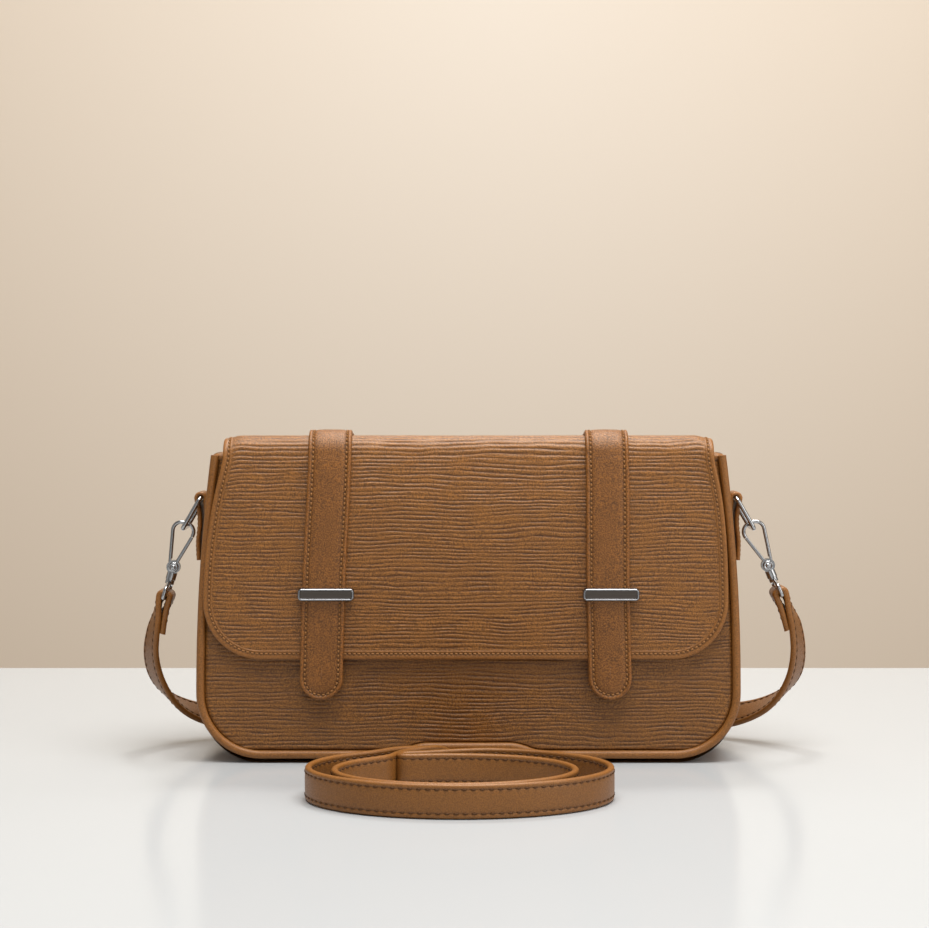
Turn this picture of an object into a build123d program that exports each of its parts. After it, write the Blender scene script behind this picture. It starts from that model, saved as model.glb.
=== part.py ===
from build123d import *
import math
import os

os.makedirs("parts", exist_ok=True)

# A leather sling bag with a flap, standing on its base. Millimetres.
# X runs across the bag, Y from the front to the back, and Z up. The floor is at z = 0.
# Depths are given from the middle plane of the body, and MIDDLE_Y places that plane.

# Body
HALF_WIDTH = 130.0        # at the widest, low on the sides
HALF_TOP_WIDTH = 122.5
BODY_HEIGHT = 147.0
HALF_DEPTH = 35.0         # to the outside of the front and back panels
CORNER_R = 31.0
LEATHER = 2.0
PIPING = 4.0
PIPING_BASE = 2.0         # the piping's height above the floor
GUSSET_INSET = 1.2
BOARD = 1.2
LINING = 0.8
FACING_HEIGHT = 15.0
BOW = 3.8                 # the base bows up by this much over the shoulder strap
BOW_HALF_FLAT = 20.0
BOW_HALF_WIDTH = 36.0

# Flap
FLAP_HALF_TOP = 116.5
FLAP_HALF_WIDTH = 124.0
FLAP_BOTTOM = 50.0
FLAP_CORNER_R = 27.0
FLAP_TOP = 157.0
FLAP_LEATHER = 2.2
FLAP_LINING = 0.6
FLAP_GAP = 0.4            # between the front panel and the flap's lining
FOLD_Z = BODY_HEIGHT      # where the crown meets the face and the anchor
ANCHOR_BOTTOM = 104.0
TRIM_WIDTH = 3.8

# Flap straps
STRAP_X_TOP = 65.6
STRAP_X_TIP = 68.6
FLAP_STRAP_WIDTH = 20.5
FLAP_STRAP = 3.0          # thickness
FLAP_STRAP_TIP = 31.0     # the lowest point of a strap
MAGNET_R = 6.0
MAGNET = 1.2
KEEPER_Z = 81.4
KEEPER_SIZE = (26.8, 6.1)
KEEPER_FRONT = 2.3
KEEPER_REAR = 0.8

# Side tabs, rings and snap hooks
TAB_WIDTH = 15.0
TAB_BOTTOM = 94.6
TAB_FOOT = 3.4
RING_PIVOT = (131.0, 125.2)
RING_WIRE_R = 1.1
RING_LENGTH = 17.05       # between the centres of the two bars
RING_WIDTH = 19.2         # between the centres of the two side wires
RING_TILT = 30.0
HOOK_TILT = {"left": 16.0, "right": 23.0}
HOOK_WIRE_R = 0.95
HOOK_APEX = 2.25          # the hook's top wire above the ring's bar
RIVET_Z = -20.3           # places on a hook are measured down from the ring's bar
BARREL = (-26.7, -22.9)
GATE_LENGTH = 17.05
GATE_LEAN = 15.4
EYE_BAR_Z = -35.8
EYE_WIRE_R = 1.0

# Shoulder strap
STRAP_WIDTH = 14.5
STRAP = 2.9
TAIL = 17.0               # length of the sewn tail below the eye's bar
CORD_R = 1.5              # the strap's plain stand-in tube
ARC_SHARE = 0.45          # share of the shorter run that a corner's arc takes up

FRONT_REACH = HALF_DEPTH + FLAP_GAP + FLAP_LINING + FLAP_LEATHER + FLAP_STRAP + KEEPER_FRONT
BACK_REACH = HALF_DEPTH + FLAP_LEATHER + FLAP_STRAP
MIDDLE_Y = (FRONT_REACH - BACK_REACH) / 2
SIDES = {"left": -1, "right": 1}

# The strap's route from each sewn end, down behind the bag, under it and up to the coil
ROUTE = {
    "left": [
        (-157.4, 4.0, 47.0),
        (-155.0, 10.0, 33.0),
        (-147.5, 19.0, 21.0),
        (-134.5, 31.0, 13.0),
        (-117.0, 44.0, 9.3),
        (-95.0, 54.0, 7.6),
        (-71.0, 60.5, 7.3),
        (-46.0, 63.0, 7.3),
        (-24.0, 61.0, 7.0),
        (-11.5, 51.0, 4.0),
        (-8.8, 37.0, 1.7),
        (-9.2, 18.0, 1.6),
        (-9.0, -6.0, 1.6),
        (-9.4, -26.0, 1.6),
        (-9.6, -42.0, 1.8),
        (-12.0, -56.0, 3.6),
        (-20.0, -67.0, 6.6),
        (-30.0, -77.5, 7.3),
    ],
    "right": [
        (163.6, 4.0, 48.0),
        (162.0, 9.0, 34.5),
        (155.0, 17.5, 23.0),
        (143.0, 29.0, 14.8),
        (126.5, 41.5, 10.2),
        (106.0, 52.5, 7.9),
        (82.0, 60.0, 7.3),
        (57.0, 64.0, 7.3),
        (33.0, 63.0, 7.2),
        (15.5, 54.0, 4.4),
        (9.6, 38.0, 1.7),
        (9.1, 18.0, 1.6),
        (9.3, -6.0, 1.6),
        (8.8, -26.0, 1.6),
        (8.6, -43.0, 1.8),
        (6.5, -58.0, 3.4),
        (-2.0, -70.0, 6.4),
        (-14.0, -77.0, 7.2),
    ],
}
COIL_CENTRE = (-4.0, -121.3)
COIL_HALF = (68.0, 47.0)
COIL_HOLE_CENTRE = (-6.0, -126.0)
COIL_HOLE_HALF = (51.0, 34.5)


def body_outline(inset, base, top):
    """The bag's outline in XZ, moved in by inset, with its lowest stretch at height base."""
    side = HALF_WIDTH - inset
    corner = CORNER_R - inset
    shoulder = HALF_TOP_WIDTH - inset
    with BuildSketch(Plane.XZ) as sketch:
        with BuildLine():
            Line((0, base + BOW), (BOW_HALF_FLAT, base + BOW))
            Spline((BOW_HALF_FLAT, base + BOW), (BOW_HALF_WIDTH, base), tangents=((1, 0), (1, 0)))
            Line((BOW_HALF_WIDTH, base), (side - corner, base))
            CenterArc((side - corner, base + corner), corner, -90, 90)
            TangentArc((side, base + corner), (shoulder, BODY_HEIGHT), tangent=(0, 1))
            Line((shoulder, BODY_HEIGHT), (shoulder, top))
            Line((shoulder, top), (0, top))
            mirror(about=Plane.YZ)
        make_face()
    return sketch.sketch.face()


def slab(face, front, back):
    """A face in XZ given thickness from depth front to depth back."""
    solid = extrude(face, back - front)
    return Pos(0, front - solid.bounding_box().min.Y, 0) * solid


def block(x, y, z):
    """A box between two X, two Y and two Z values."""
    size = (x[1] - x[0], y[1] - y[0], z[1] - z[0])
    middle = ((x[0] + x[1]) / 2, (y[0] + y[1]) / 2, (z[0] + z[1]) / 2)
    return Pos(*middle) * Box(*size)


def body_band(outer, inner, front, back):
    """The strip between two insets of the outline, open at the top."""
    outside = slab(body_outline(outer[0], outer[1], BODY_HEIGHT + 1), front, back)
    inside = slab(body_outline(inner[0], inner[1], BODY_HEIGHT + 2), front - 1, back + 1)
    above = block((-200, 200), (front - 1, back + 1), (BODY_HEIGHT, BODY_HEIGHT + 20))
    return outside - inside - above


def depths(near, far, at_back):
    """Two depths counted from the middle plane, on the front or on the back."""
    return (near, far) if at_back else (-far, -near)


def panel(at_back):
    face = body_outline(PIPING, PIPING_BASE + PIPING, BODY_HEIGHT + 0.1)
    sheet = slab(face, *depths(HALF_DEPTH - LEATHER, HALF_DEPTH, at_back))
    return sheet - block((-200, 200), (-90, 90), (BODY_HEIGHT, BODY_HEIGHT + 20))


def piping(at_back):
    span = depths(HALF_DEPTH - LEATHER, HALF_DEPTH - LEATHER + PIPING, at_back)
    return body_band((0, PIPING_BASE), (PIPING, PIPING_BASE + PIPING), *span)


def gusset():
    inner = GUSSET_INSET + LEATHER
    return body_band((GUSSET_INSET, 0), (inner, LEATHER), LEATHER - HALF_DEPTH, HALF_DEPTH - LEATHER)


def stiffener(at_back):
    inset = GUSSET_INSET + LEATHER + BOARD
    face = body_outline(inset, LEATHER + BOARD + 0.5, BODY_HEIGHT + 1)
    far = HALF_DEPTH - LEATHER
    sheet = slab(face, *depths(far - BOARD, far, at_back))
    sheet -= block((-200, 200), (-90, 90), (BODY_HEIGHT - 3, BODY_HEIGHT + 20))
    if not at_back:
        for side in SIDES.values():
            sheet -= magnet_disc(side, *depths(far - BOARD, far, False))
    return sheet


def base_board():
    inset = GUSSET_INSET + LEATHER
    depth = HALF_DEPTH - LEATHER - BOARD - 0.3
    outer = (inset, LEATHER)
    inner = (inset + BOARD, LEATHER + BOARD)
    band = body_band(outer, inner, -depth, depth)
    return band & block((-96, 96), (-depth, depth), (0, 20))


def lining():
    inset = GUSSET_INSET + LEATHER + BOARD
    base = LEATHER + BOARD
    depth = HALF_DEPTH - LEATHER - BOARD
    band = body_band((inset, base), (inset + LINING, base + LINING), -depth, depth)
    face = body_outline(inset + LINING, base + LINING, BODY_HEIGHT + 1)
    for at_back in (False, True):
        band += slab(face, *depths(depth - LINING, depth, at_back))
    return band - block((-200, 200), (-90, 90), (BODY_HEIGHT, BODY_HEIGHT + 20))


def mouth_facing():
    inset = GUSSET_INSET + LEATHER + BOARD + LINING
    base = LEATHER + BOARD + LINING
    depth = HALF_DEPTH - LEATHER - BOARD - LINING
    ring = body_band((inset, base), (inset + LINING, base + LINING), -depth, depth)
    face = body_outline(inset + LINING, base + LINING, BODY_HEIGHT + 1)
    for at_back in (False, True):
        ring += slab(face, *depths(depth - LINING, depth, at_back))
    return ring & block((-200, 200), (-90, 90), (BODY_HEIGHT - FACING_HEIGHT, BODY_HEIGHT))


def slip_pocket():
    back = HALF_DEPTH - LEATHER - BOARD - LINING
    pocket = block((-75, 75), (back - LINING, back), (30, 112))
    return fillet(pocket.edges().filter_by(Axis.Y).group_by(Axis.Z)[0], 10)


def pocket_trim():
    back = HALF_DEPTH - LEATHER - BOARD - LINING
    return block((-75, 75), (back - LINING, back), (112, 122))


def strap_face(side, half_width):
    """A flap strap's face in XZ, from the fold down to its round tip."""
    tip_z = FLAP_STRAP_TIP + FLAP_STRAP_WIDTH / 2
    lean = math.degrees(math.atan((STRAP_X_TIP - STRAP_X_TOP) / (FOLD_Z - tip_z)))
    length = FOLD_Z - tip_z + 5
    with BuildSketch(Plane.XZ) as sketch:
        with Locations(Location((side * STRAP_X_TIP, tip_z), side * lean)):
            Circle(half_width)
            Rectangle(2 * half_width, length, align=(Align.CENTER, Align.MIN))
        with Locations((0, FOLD_Z)):
            Rectangle(400, 50, align=(Align.CENTER, Align.MIN), mode=Mode.SUBTRACT)
    return sketch.sketch.face()


def magnet_disc(side, front, back):
    """A disc on the axis of a flap strap's tip."""
    tip_z = FLAP_STRAP_TIP + FLAP_STRAP_WIDTH / 2
    return y_cylinder(MAGNET_R, front, back, x=side * STRAP_X_TIP, z=tip_z)


def crown_shape(out):
    """Section in YZ of everything under the crown, out from its inner surface."""
    radius = FLAP_TOP - FLAP_LEATHER - FOLD_Z
    back = HALF_DEPTH
    front = -HALF_DEPTH - FLAP_GAP - FLAP_LINING
    with BuildSketch(Plane.YZ) as sketch:
        with BuildLine():
            CenterArc((back - radius, FOLD_Z), radius + out, 0, 90)
            Line((back - radius, FOLD_Z + radius + out), (front + radius, FOLD_Z + radius + out))
            CenterArc((front + radius, FOLD_Z), radius + out, 90, 90)
            Line((front - out, FOLD_Z), (back + out, FOLD_Z))
        make_face()
    return sketch.sketch.face()


def crown_band(inner, outer, low_x, high_x):
    solid = extrude(crown_shape(outer) - crown_shape(inner), high_x - low_x)
    return Pos(low_x - solid.bounding_box().min.X, 0, 0) * solid


def flap_crown():
    return crown_band(0, FLAP_LEATHER, -FLAP_HALF_TOP, FLAP_HALF_TOP)


def flap_anchor():
    sheet = block(
        (-FLAP_HALF_TOP, FLAP_HALF_TOP),
        (HALF_DEPTH, HALF_DEPTH + FLAP_LEATHER),
        (ANCHOR_BOTTOM, FOLD_Z),
    )
    return fillet(sheet.edges().filter_by(Axis.Y).group_by(Axis.Z)[0], 12)


def flap_outline(inset, top):
    side = FLAP_HALF_WIDTH - inset
    radius = FLAP_CORNER_R - inset
    middle = FLAP_BOTTOM + FLAP_CORNER_R
    with BuildSketch(Plane.XZ) as sketch:
        with BuildLine():
            Line((0, FLAP_BOTTOM + inset), (side - radius, FLAP_BOTTOM + inset))
            CenterArc((side - radius, middle), radius, -90, 90)
            TangentArc((side, middle), (FLAP_HALF_TOP - inset, FOLD_Z), tangent=(0, 1))
            Line((FLAP_HALF_TOP - inset, FOLD_Z), (FLAP_HALF_TOP - inset, top))
            Line((FLAP_HALF_TOP - inset, top), (0, top))
            mirror(about=Plane.YZ)
        make_face()
    return sketch.sketch.face()


def flap_sheet(near, far):
    sheet = slab(flap_outline(TRIM_WIDTH, FOLD_Z + 1), -far, -near)
    return sheet - block((-200, 200), (-90, 90), (FOLD_Z, FOLD_Z + 20))


def flap_lining():
    near = HALF_DEPTH + FLAP_GAP
    return flap_sheet(near, near + FLAP_LINING)


def flap_face():
    near = HALF_DEPTH + FLAP_GAP + FLAP_LINING
    return flap_sheet(near, near + FLAP_LEATHER)


def flap_edge_trim():
    near = HALF_DEPTH + FLAP_GAP
    far = near + FLAP_LINING + FLAP_LEATHER
    band = slab(flap_outline(0, FOLD_Z + 1), -far, -near)
    band -= slab(flap_outline(TRIM_WIDTH, FOLD_Z + 2), -far - 1, -near + 1)
    return band - block((-200, 200), (-90, 90), (FOLD_Z, FOLD_Z + 20))


def strap_front(side):
    """A flap strap on the flap's face, relieved for the keeper's rear bar and its magnet."""
    near = HALF_DEPTH + FLAP_GAP + FLAP_LINING + FLAP_LEATHER
    strap = slab(strap_face(side, FLAP_STRAP_WIDTH / 2), -near - FLAP_STRAP, -near)
    x = keeper_x(side)
    half = KEEPER_SIZE[0] / 2
    height = (KEEPER_Z - KEEPER_SIZE[1] / 2, KEEPER_Z + KEEPER_SIZE[1] / 2)
    strap -= block((x - half, x + half), (-near - KEEPER_REAR - 0.05, -near + 1), height)
    return strap - tip_magnet(side)


def tip_magnet(side):
    near = HALF_DEPTH + FLAP_GAP + FLAP_LINING + FLAP_LEATHER + 0.8
    return magnet_disc(side, -near - MAGNET, -near)


def magnet_plate(side):
    far = HALF_DEPTH - LEATHER
    return magnet_disc(side, -far, -far + BOARD)


def strap_top(side):
    low_x = side * STRAP_X_TOP - FLAP_STRAP_WIDTH / 2
    return crown_band(FLAP_LEATHER, FLAP_LEATHER + FLAP_STRAP, low_x, low_x + FLAP_STRAP_WIDTH)


def strap_rear(side):
    low_x = side * STRAP_X_TOP - FLAP_STRAP_WIDTH / 2
    back = HALF_DEPTH + FLAP_LEATHER
    strap = block(
        (low_x, low_x + FLAP_STRAP_WIDTH),
        (back, back + FLAP_STRAP),
        (ANCHOR_BOTTOM + 5, FOLD_Z),
    )
    return fillet(strap.edges().filter_by(Axis.Y).group_by(Axis.Z)[0], FLAP_STRAP_WIDTH / 2 - 0.5)


def keeper_x(side):
    """The middle of a flap strap at the keeper's height."""
    tip_z = FLAP_STRAP_TIP + FLAP_STRAP_WIDTH / 2
    share = (FOLD_Z - KEEPER_Z) / (FOLD_Z - tip_z)
    return side * (STRAP_X_TOP + share * (STRAP_X_TIP - STRAP_X_TOP))


def keeper(side):
    """A metal loop round a flap strap, with a recess for its plate."""
    near = HALF_DEPTH + FLAP_GAP + FLAP_LINING + FLAP_LEATHER
    far = near + FLAP_STRAP
    width, height = KEEPER_SIZE
    loop = Pos(0, -(near + far + KEEPER_FRONT) / 2, 0) * Box(width, far + KEEPER_FRONT - near, height)
    loop = fillet(loop.edges().filter_by(Axis.Y), 1.3)
    window = block(
        (-FLAP_STRAP_WIDTH / 2 - 0.4, FLAP_STRAP_WIDTH / 2 + 0.4),
        (-far - 0.05, -near - KEEPER_REAR),
        (-height, height),
    )
    recess = block(
        (-width / 2 + 1.7, width / 2 - 1.7),
        (-far - KEEPER_FRONT - 1, -far - KEEPER_FRONT + 0.6),
        (-height / 2 + 1.1, height / 2 - 1.1),
    )
    return Pos(keeper_x(side), 0, KEEPER_Z) * (loop - window - recess)


def keeper_plate(side):
    far = HALF_DEPTH + FLAP_GAP + FLAP_LINING + FLAP_LEATHER + FLAP_STRAP + KEEPER_FRONT
    width, height = KEEPER_SIZE
    plate = block(
        (-width / 2 + 1.8, width / 2 - 1.8),
        (-far + 0.2, -far + 0.6),
        (-height / 2 + 1.2, height / 2 - 1.2),
    )
    return Pos(keeper_x(side), 0, KEEPER_Z) * plate


def side_tab(side):
    """Leather folded round the ring's upper bar and sewn to the gusset."""
    pivot_x, pivot_z = RING_PIVOT
    radius = RING_WIRE_R + 0.15 + 3.0
    foot = gusset_x(TAB_BOTTOM) + 0.05
    with BuildSketch(Plane.XZ) as sketch:
        with BuildLine():
            Polyline(
                (foot, TAB_BOTTOM),
                (foot + TAB_FOOT, TAB_BOTTOM),
                (pivot_x + radius, pivot_z - 1),
                (pivot_x, pivot_z),
                (pivot_x - radius, pivot_z),
                (gusset_x(TAB_BOTTOM + 14) + 0.05, TAB_BOTTOM + 14),
                close=True,
            )
        make_face()
        with Locations((pivot_x, pivot_z)):
            Circle(radius)
            Circle(RING_WIRE_R + 0.08, mode=Mode.SUBTRACT)
    tab = slab(sketch.sketch.face(), -TAB_WIDTH / 2, TAB_WIDTH / 2)
    return to_side(tab, side)


def gusset_x(z):
    """The outside of the gusset at height z, on the arc that the outline's side follows."""
    rise = BODY_HEIGHT - CORNER_R
    drop = HALF_WIDTH - HALF_TOP_WIDTH
    radius = (rise**2 + drop**2) / (2 * drop)
    height = z - CORNER_R
    return HALF_WIDTH - GUSSET_INSET - radius + math.sqrt(radius**2 - height**2)


def to_side(shape, side):
    return shape if side > 0 else mirror(shape, about=Plane.YZ)


def ring_bar():
    """The centre of the ring's lower bar, where the hook hangs, on the right side."""
    tilt = math.radians(RING_TILT)
    return (
        RING_PIVOT[0] + RING_LENGTH * math.sin(tilt),
        RING_PIVOT[1] - RING_LENGTH * math.cos(tilt),
    )


def round_wire(path, radius):
    section = Plane(origin=path @ 0, z_dir=path % 0) * Circle(radius)
    return sweep(section, path=path)


def ring(side):
    half = RING_WIDTH / 2
    corners = [
        (0, half, 0),
        (0, half, -RING_LENGTH),
        (0, -half, -RING_LENGTH),
        (0, -half, 0),
    ]
    path = FilletPolyline(*corners, radius=2.0, close=True)
    wire = round_wire(path, RING_WIRE_R)
    wire = Pos(RING_PIVOT[0], 0, RING_PIVOT[1]) * Rot(0, -RING_TILT, 0) * wire
    return to_side(wire, side)


def on_hook(shape, name):
    """A shape made about the ring's bar, turned and moved to a hook's place."""
    x, z = ring_bar()
    return to_side(Pos(x, 0, z) * Rot(0, -HOOK_TILT[name], 0) * shape, SIDES[name])


def y_cylinder(radius, low, high, x=0.0, z=0.0):
    return Pos(x, (low + high) / 2, z) * Rot(90, 0, 0) * Cylinder(radius, high - low)


def z_cylinder(radius, low, high):
    return Pos(0, 0, (low + high) / 2) * Cylinder(radius, high - low)


def nose():
    """The end of the hook's wire, which the closed gate meets."""
    lean = math.radians(GATE_LEAN)
    reach = GATE_LENGTH + 0.25
    return (-reach * math.sin(lean), RIVET_Z + reach * math.cos(lean))


def hook_body(name):
    """Pear-shaped wire, rivet boss and swivel barrel of a snap hook, in one casting."""
    nose_x, nose_z = nose()
    lean = math.radians(GATE_LEAN)
    points = [
        (2.5, 0, -18.4),
        (6.5, 0, HOOK_APEX),
        (nose_x - 0.6, 0, HOOK_APEX),
        (nose_x, 0, nose_z),
    ]
    path = FilletPolyline(*points, radius=[4.3, 4.3])
    body = round_wire(path, HOOK_WIRE_R)
    body += y_cylinder(3.3, -2.1, 2.1, x=0.2, z=RIVET_Z)
    body += z_cylinder(2.5, *BARREL)
    body -= block((-5, 2.2), (-0.9, 0.9), (-22.4, -16.5))
    body -= y_cylinder(0.8, -3, 3, z=RIVET_Z)
    body -= z_cylinder(1.26, BARREL[0] - 1, BARREL[0] + 1.2)
    body -= z_cylinder(1.9, BARREL[0] + 1.0, BARREL[0] + 3.2)
    return on_hook(body, name)


def gate(name):
    """A straight gate that closes the hook from its rivet to its nose."""
    bar = Pos(0, 0, GATE_LENGTH / 2) * Box(1.7, 1.6, GATE_LENGTH)
    bar = fillet(bar.edges().filter_by(Axis.Z), 0.5)
    bar += y_cylinder(1.9, -0.8, 0.8)
    bar -= y_cylinder(0.86, -2, 2)
    return on_hook(Pos(0, 0, RIVET_Z) * Rot(0, -GATE_LEAN, 0) * bar, name)


def gate_rivet(name):
    rivet = y_cylinder(0.8, -2.3, 2.3, z=RIVET_Z)
    rivet += y_cylinder(2.5, -3.0, -2.1, z=RIVET_Z)
    rivet += y_cylinder(1.6, 2.1, 2.7, z=RIVET_Z)
    return on_hook(rivet, name)


def gate_spring(name):
    return on_hook(block((1.9, 2.2), (-0.7, 0.7), (-22.0, -17.6)), name)


def swivel_stud(name):
    """Headed stud that turns in the hook's barrel and is riveted into the eye."""
    stud = z_cylinder(1.2, BARREL[0] - 2.2, BARREL[0] + 1.5)
    stud += z_cylinder(1.75, BARREL[0] + 1.25, BARREL[0] + 2.9)
    return on_hook(stud, name)


def strap_eye(name):
    """Wire eye with a bar along Y for the strap, and a boss for the stud."""
    points = [
        (0, 9.2, EYE_BAR_Z),
        (0, 9.2, EYE_BAR_Z + 5.2),
        (0, 2.6, EYE_BAR_Z + 7.6),
        (0, -2.6, EYE_BAR_Z + 7.6),
        (0, -9.2, EYE_BAR_Z + 5.2),
        (0, -9.2, EYE_BAR_Z),
    ]
    path = FilletPolyline(*points, radius=1.6, close=True)
    eye = round_wire(path, EYE_WIRE_R)
    top = BARREL[0] - 0.2
    eye += z_cylinder(2.2, top - 2.0, top)
    eye -= z_cylinder(1.2, top - 5, top + 1)
    return on_hook(eye, name)


def strap_end(name):
    """The strap folded over the eye's bar and sewn to its own tail."""
    half = STRAP_WIDTH / 2
    fold = y_cylinder(EYE_WIRE_R + 0.05 + STRAP, -half, half, z=EYE_BAR_Z)
    fold += block((-STRAP, STRAP), (-half, half), (EYE_BAR_Z - TAIL, EYE_BAR_Z))
    return on_hook(fold - y_cylinder(EYE_WIRE_R + 0.05, -20, 20, z=EYE_BAR_Z), name)


def strap_start(name):
    """The middle of the sewn end's lower face, where the free strap leaves it."""
    x, z = ring_bar()
    tilt = math.radians(HOOK_TILT[name])
    reach = TAIL - EYE_BAR_Z
    return Vector(SIDES[name] * (x + reach * math.sin(tilt)), MIDDLE_Y, z - reach * math.cos(tilt))


def strap_leg(name):
    """A plain tube along the free strap, from its sewn end to the coil."""
    points = [strap_start(name)] + [Vector(*point) for point in ROUTE[name]]
    radii = []
    for before, corner, after in zip(points, points[1:], points[2:]):
        turn = (corner - before).get_angle(after - corner)
        shorter = min((corner - before).length, (after - corner).length)
        radii.append(ARC_SHARE * shorter / math.tan(math.radians(turn / 2)))
    path = FilletPolyline(*points, radius=radii)
    tube = round_wire(path, CORD_R)
    share = tube.volume / (math.pi * CORD_R**2 * path.length)
    print(f"strap_leg_{name}: {path.length:.0f} mm, volume share {share:.3f}")
    print("  radii", [round(radius) for radius in radii])
    return tube


def strap_coil():
    """The outer shape of the coil that the strap's middle makes in front of the bag."""
    ring_face = Pos(*COIL_CENTRE) * Ellipse(*COIL_HALF)
    ring_face -= Pos(*COIL_HOLE_CENTRE) * Ellipse(*COIL_HOLE_HALF)
    return extrude(ring_face, STRAP_WIDTH)


parts = {
    "front_panel": panel(False),
    "back_panel": panel(True),
    "gusset": gusset(),
    "front_piping": piping(False),
    "back_piping": piping(True),
    "front_stiffener": stiffener(False),
    "back_stiffener": stiffener(True),
    "base_board": base_board(),
    "lining": lining(),
    "mouth_facing": mouth_facing(),
    "slip_pocket": slip_pocket(),
    "pocket_trim": pocket_trim(),
    "flap_anchor": flap_anchor(),
    "flap_crown": flap_crown(),
    "flap_face": flap_face(),
    "flap_lining": flap_lining(),
    "flap_edge_trim": flap_edge_trim(),
}
for name, side in SIDES.items():
    parts[f"{name}_flap_strap_rear"] = strap_rear(side)
    parts[f"{name}_flap_strap_top"] = strap_top(side)
    parts[f"{name}_flap_strap_front"] = strap_front(side)
    parts[f"{name}_tip_magnet"] = tip_magnet(side)
    parts[f"{name}_magnet_plate"] = magnet_plate(side)
    parts[f"{name}_keeper"] = keeper(side)
    parts[f"{name}_keeper_plate"] = keeper_plate(side)
    parts[f"{name}_side_tab"] = side_tab(side)
    parts[f"{name}_ring"] = ring(side)
    parts[f"{name}_hook_body"] = hook_body(name)
    parts[f"{name}_gate"] = gate(name)
    parts[f"{name}_gate_rivet"] = gate_rivet(name)
    parts[f"{name}_gate_spring"] = gate_spring(name)
    parts[f"{name}_swivel_stud"] = swivel_stud(name)
    parts[f"{name}_strap_eye"] = strap_eye(name)
    parts[f"{name}_strap_end"] = strap_end(name)

for node, shape in parts.items():
    export_step(Pos(0, MIDDLE_Y, 0) * shape, f"parts/{node}.step")

# These already stand at their places from the floor's origin.
export_step(strap_coil(), "parts/strap_coil.step")
for name in SIDES:
    export_step(strap_leg(name), f"parts/strap_leg_{name}.step")
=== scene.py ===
import math

import bpy
import numpy as np
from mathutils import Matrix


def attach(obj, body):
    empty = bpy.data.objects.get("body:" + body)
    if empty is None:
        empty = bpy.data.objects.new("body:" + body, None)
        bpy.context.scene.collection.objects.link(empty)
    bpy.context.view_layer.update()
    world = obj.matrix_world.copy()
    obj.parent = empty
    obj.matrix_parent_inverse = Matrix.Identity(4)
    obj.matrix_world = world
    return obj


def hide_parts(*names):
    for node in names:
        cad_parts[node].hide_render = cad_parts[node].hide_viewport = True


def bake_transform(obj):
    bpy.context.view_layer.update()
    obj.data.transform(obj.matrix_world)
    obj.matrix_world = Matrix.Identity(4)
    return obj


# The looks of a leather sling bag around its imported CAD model. Lengths are millimetres until
# a mesh is built, where MM turns them into metres. X runs across the bag, Y from front to back.
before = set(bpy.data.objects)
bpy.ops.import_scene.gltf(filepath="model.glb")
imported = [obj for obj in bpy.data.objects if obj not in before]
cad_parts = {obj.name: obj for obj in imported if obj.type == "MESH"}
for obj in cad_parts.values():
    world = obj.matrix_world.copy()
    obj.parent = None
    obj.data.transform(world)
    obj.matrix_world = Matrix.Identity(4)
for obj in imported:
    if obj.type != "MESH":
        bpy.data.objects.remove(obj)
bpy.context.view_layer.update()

MM = 0.001
SIDES = {"left": -1, "right": 1}

# Body, with depths from the middle plane at MIDDLE_Y
MIDDLE_Y = 1.65
HALF_WIDTH = 130.0
SIDE_TAPER = 7.5          # each side leans in by this much up to the mouth
BODY_HEIGHT = 147.0
HALF_DEPTH = 35.0
CORNER_R = 31.0
BOW = 3.8                 # the base rises by this much in its middle,
BOW_SPAN = (20.0, 36.0)   # and comes down between these distances from it
SWELL = 1.0               # the padded front and back stand out by this much
PANEL_INSET = 3.3         # from the body's outline to the edge of a panel
PANEL_BASE = 5.3
PIPING_INSET = 2.0
PIPING_BASE = 4.0
PIPING_R = 1.98
GUSSET_INSET = 1.2
GUSSET_PUFF = 2.7
GRAIN = 0.44              # height of the embossed ripple
GRAIN_PITCH = 1.92

# Flap
FLAP_HALF_TOP = 116.5
FLAP_HALF_WIDTH = 124.8
FLAP_LEAN = -1.3          # the flap hangs this far to one side at its foot
FLAP_CORNER_R = 27.0
FLAP_CORNER_Z = 77.0
FLAP_BOTTOM = 50.0
FLAP_BEND_R = 7.8
FLAP_FRONT = -36.0 + MIDDLE_Y     # the leather's inner surface in front
FLAP_BACK = 35.0 + MIDDLE_Y
FLAP_LEATHER = 2.2
FLAP_LINING = 0.6
FLAP_SEAM = 3.6           # from the flap's edge to its embossed leather, under the trim
FLAP_BELLY = 1.7          # the front stands out by this much more where it bulges most
ANCHOR_BOTTOM = 104.0
ANCHOR_R = 12.0
CROWN_FALL = 4.6          # the crown sinks by this much on its way to the back,
CROWN_FALL_FROM = -32.0   # from this depth on,
CROWN_FALL_RUN = 50.0     # within this distance
END_FALL = 2.0            # its two ends sink by this much more,
END_RUN = 9.0             # over this width,
END_OUT = 0.7             # and stand out from the body by this much
CROWN_FLAT = (FLAP_BACK - FLAP_FRONT) / 2 - FLAP_BEND_R
CROWN_MIDDLE = (FLAP_BACK + FLAP_FRONT) / 2
BEND = FLAP_BEND_R * math.pi / 2
FRONT_END = CROWN_FLAT + BEND + BODY_HEIGHT - FLAP_BOTTOM
BACK_END = CROWN_FLAT + BEND + BODY_HEIGHT - ANCHOR_BOTTOM
NUDGE = 1e-6              # keeps the crown's middle line on its own half of the flap

# Flap straps and keepers
STRAP_X = (65.6, 68.6)    # from the bag's middle to a strap's, on the crown and at its tip
FLAP_STRAP_HALF = 10.25
TIP_Z = 41.25
REAR_TIP_Z = 119.25
KEEPER_Z = 81.4
KEEPER_HALF = (13.4, 3.05)
KEEPER_SINK = 0.15        # into the flap's leather

# Side hardware: places on the right in X and Z
RING_PIVOT = (131.0, 125.2)
RING_BAR = (139.525, 110.434)
HOOK_TILT = {"left": 16.0, "right": 23.0}
EYE_BAR_Z = -35.8         # from the ring's bar along the hook

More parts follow.
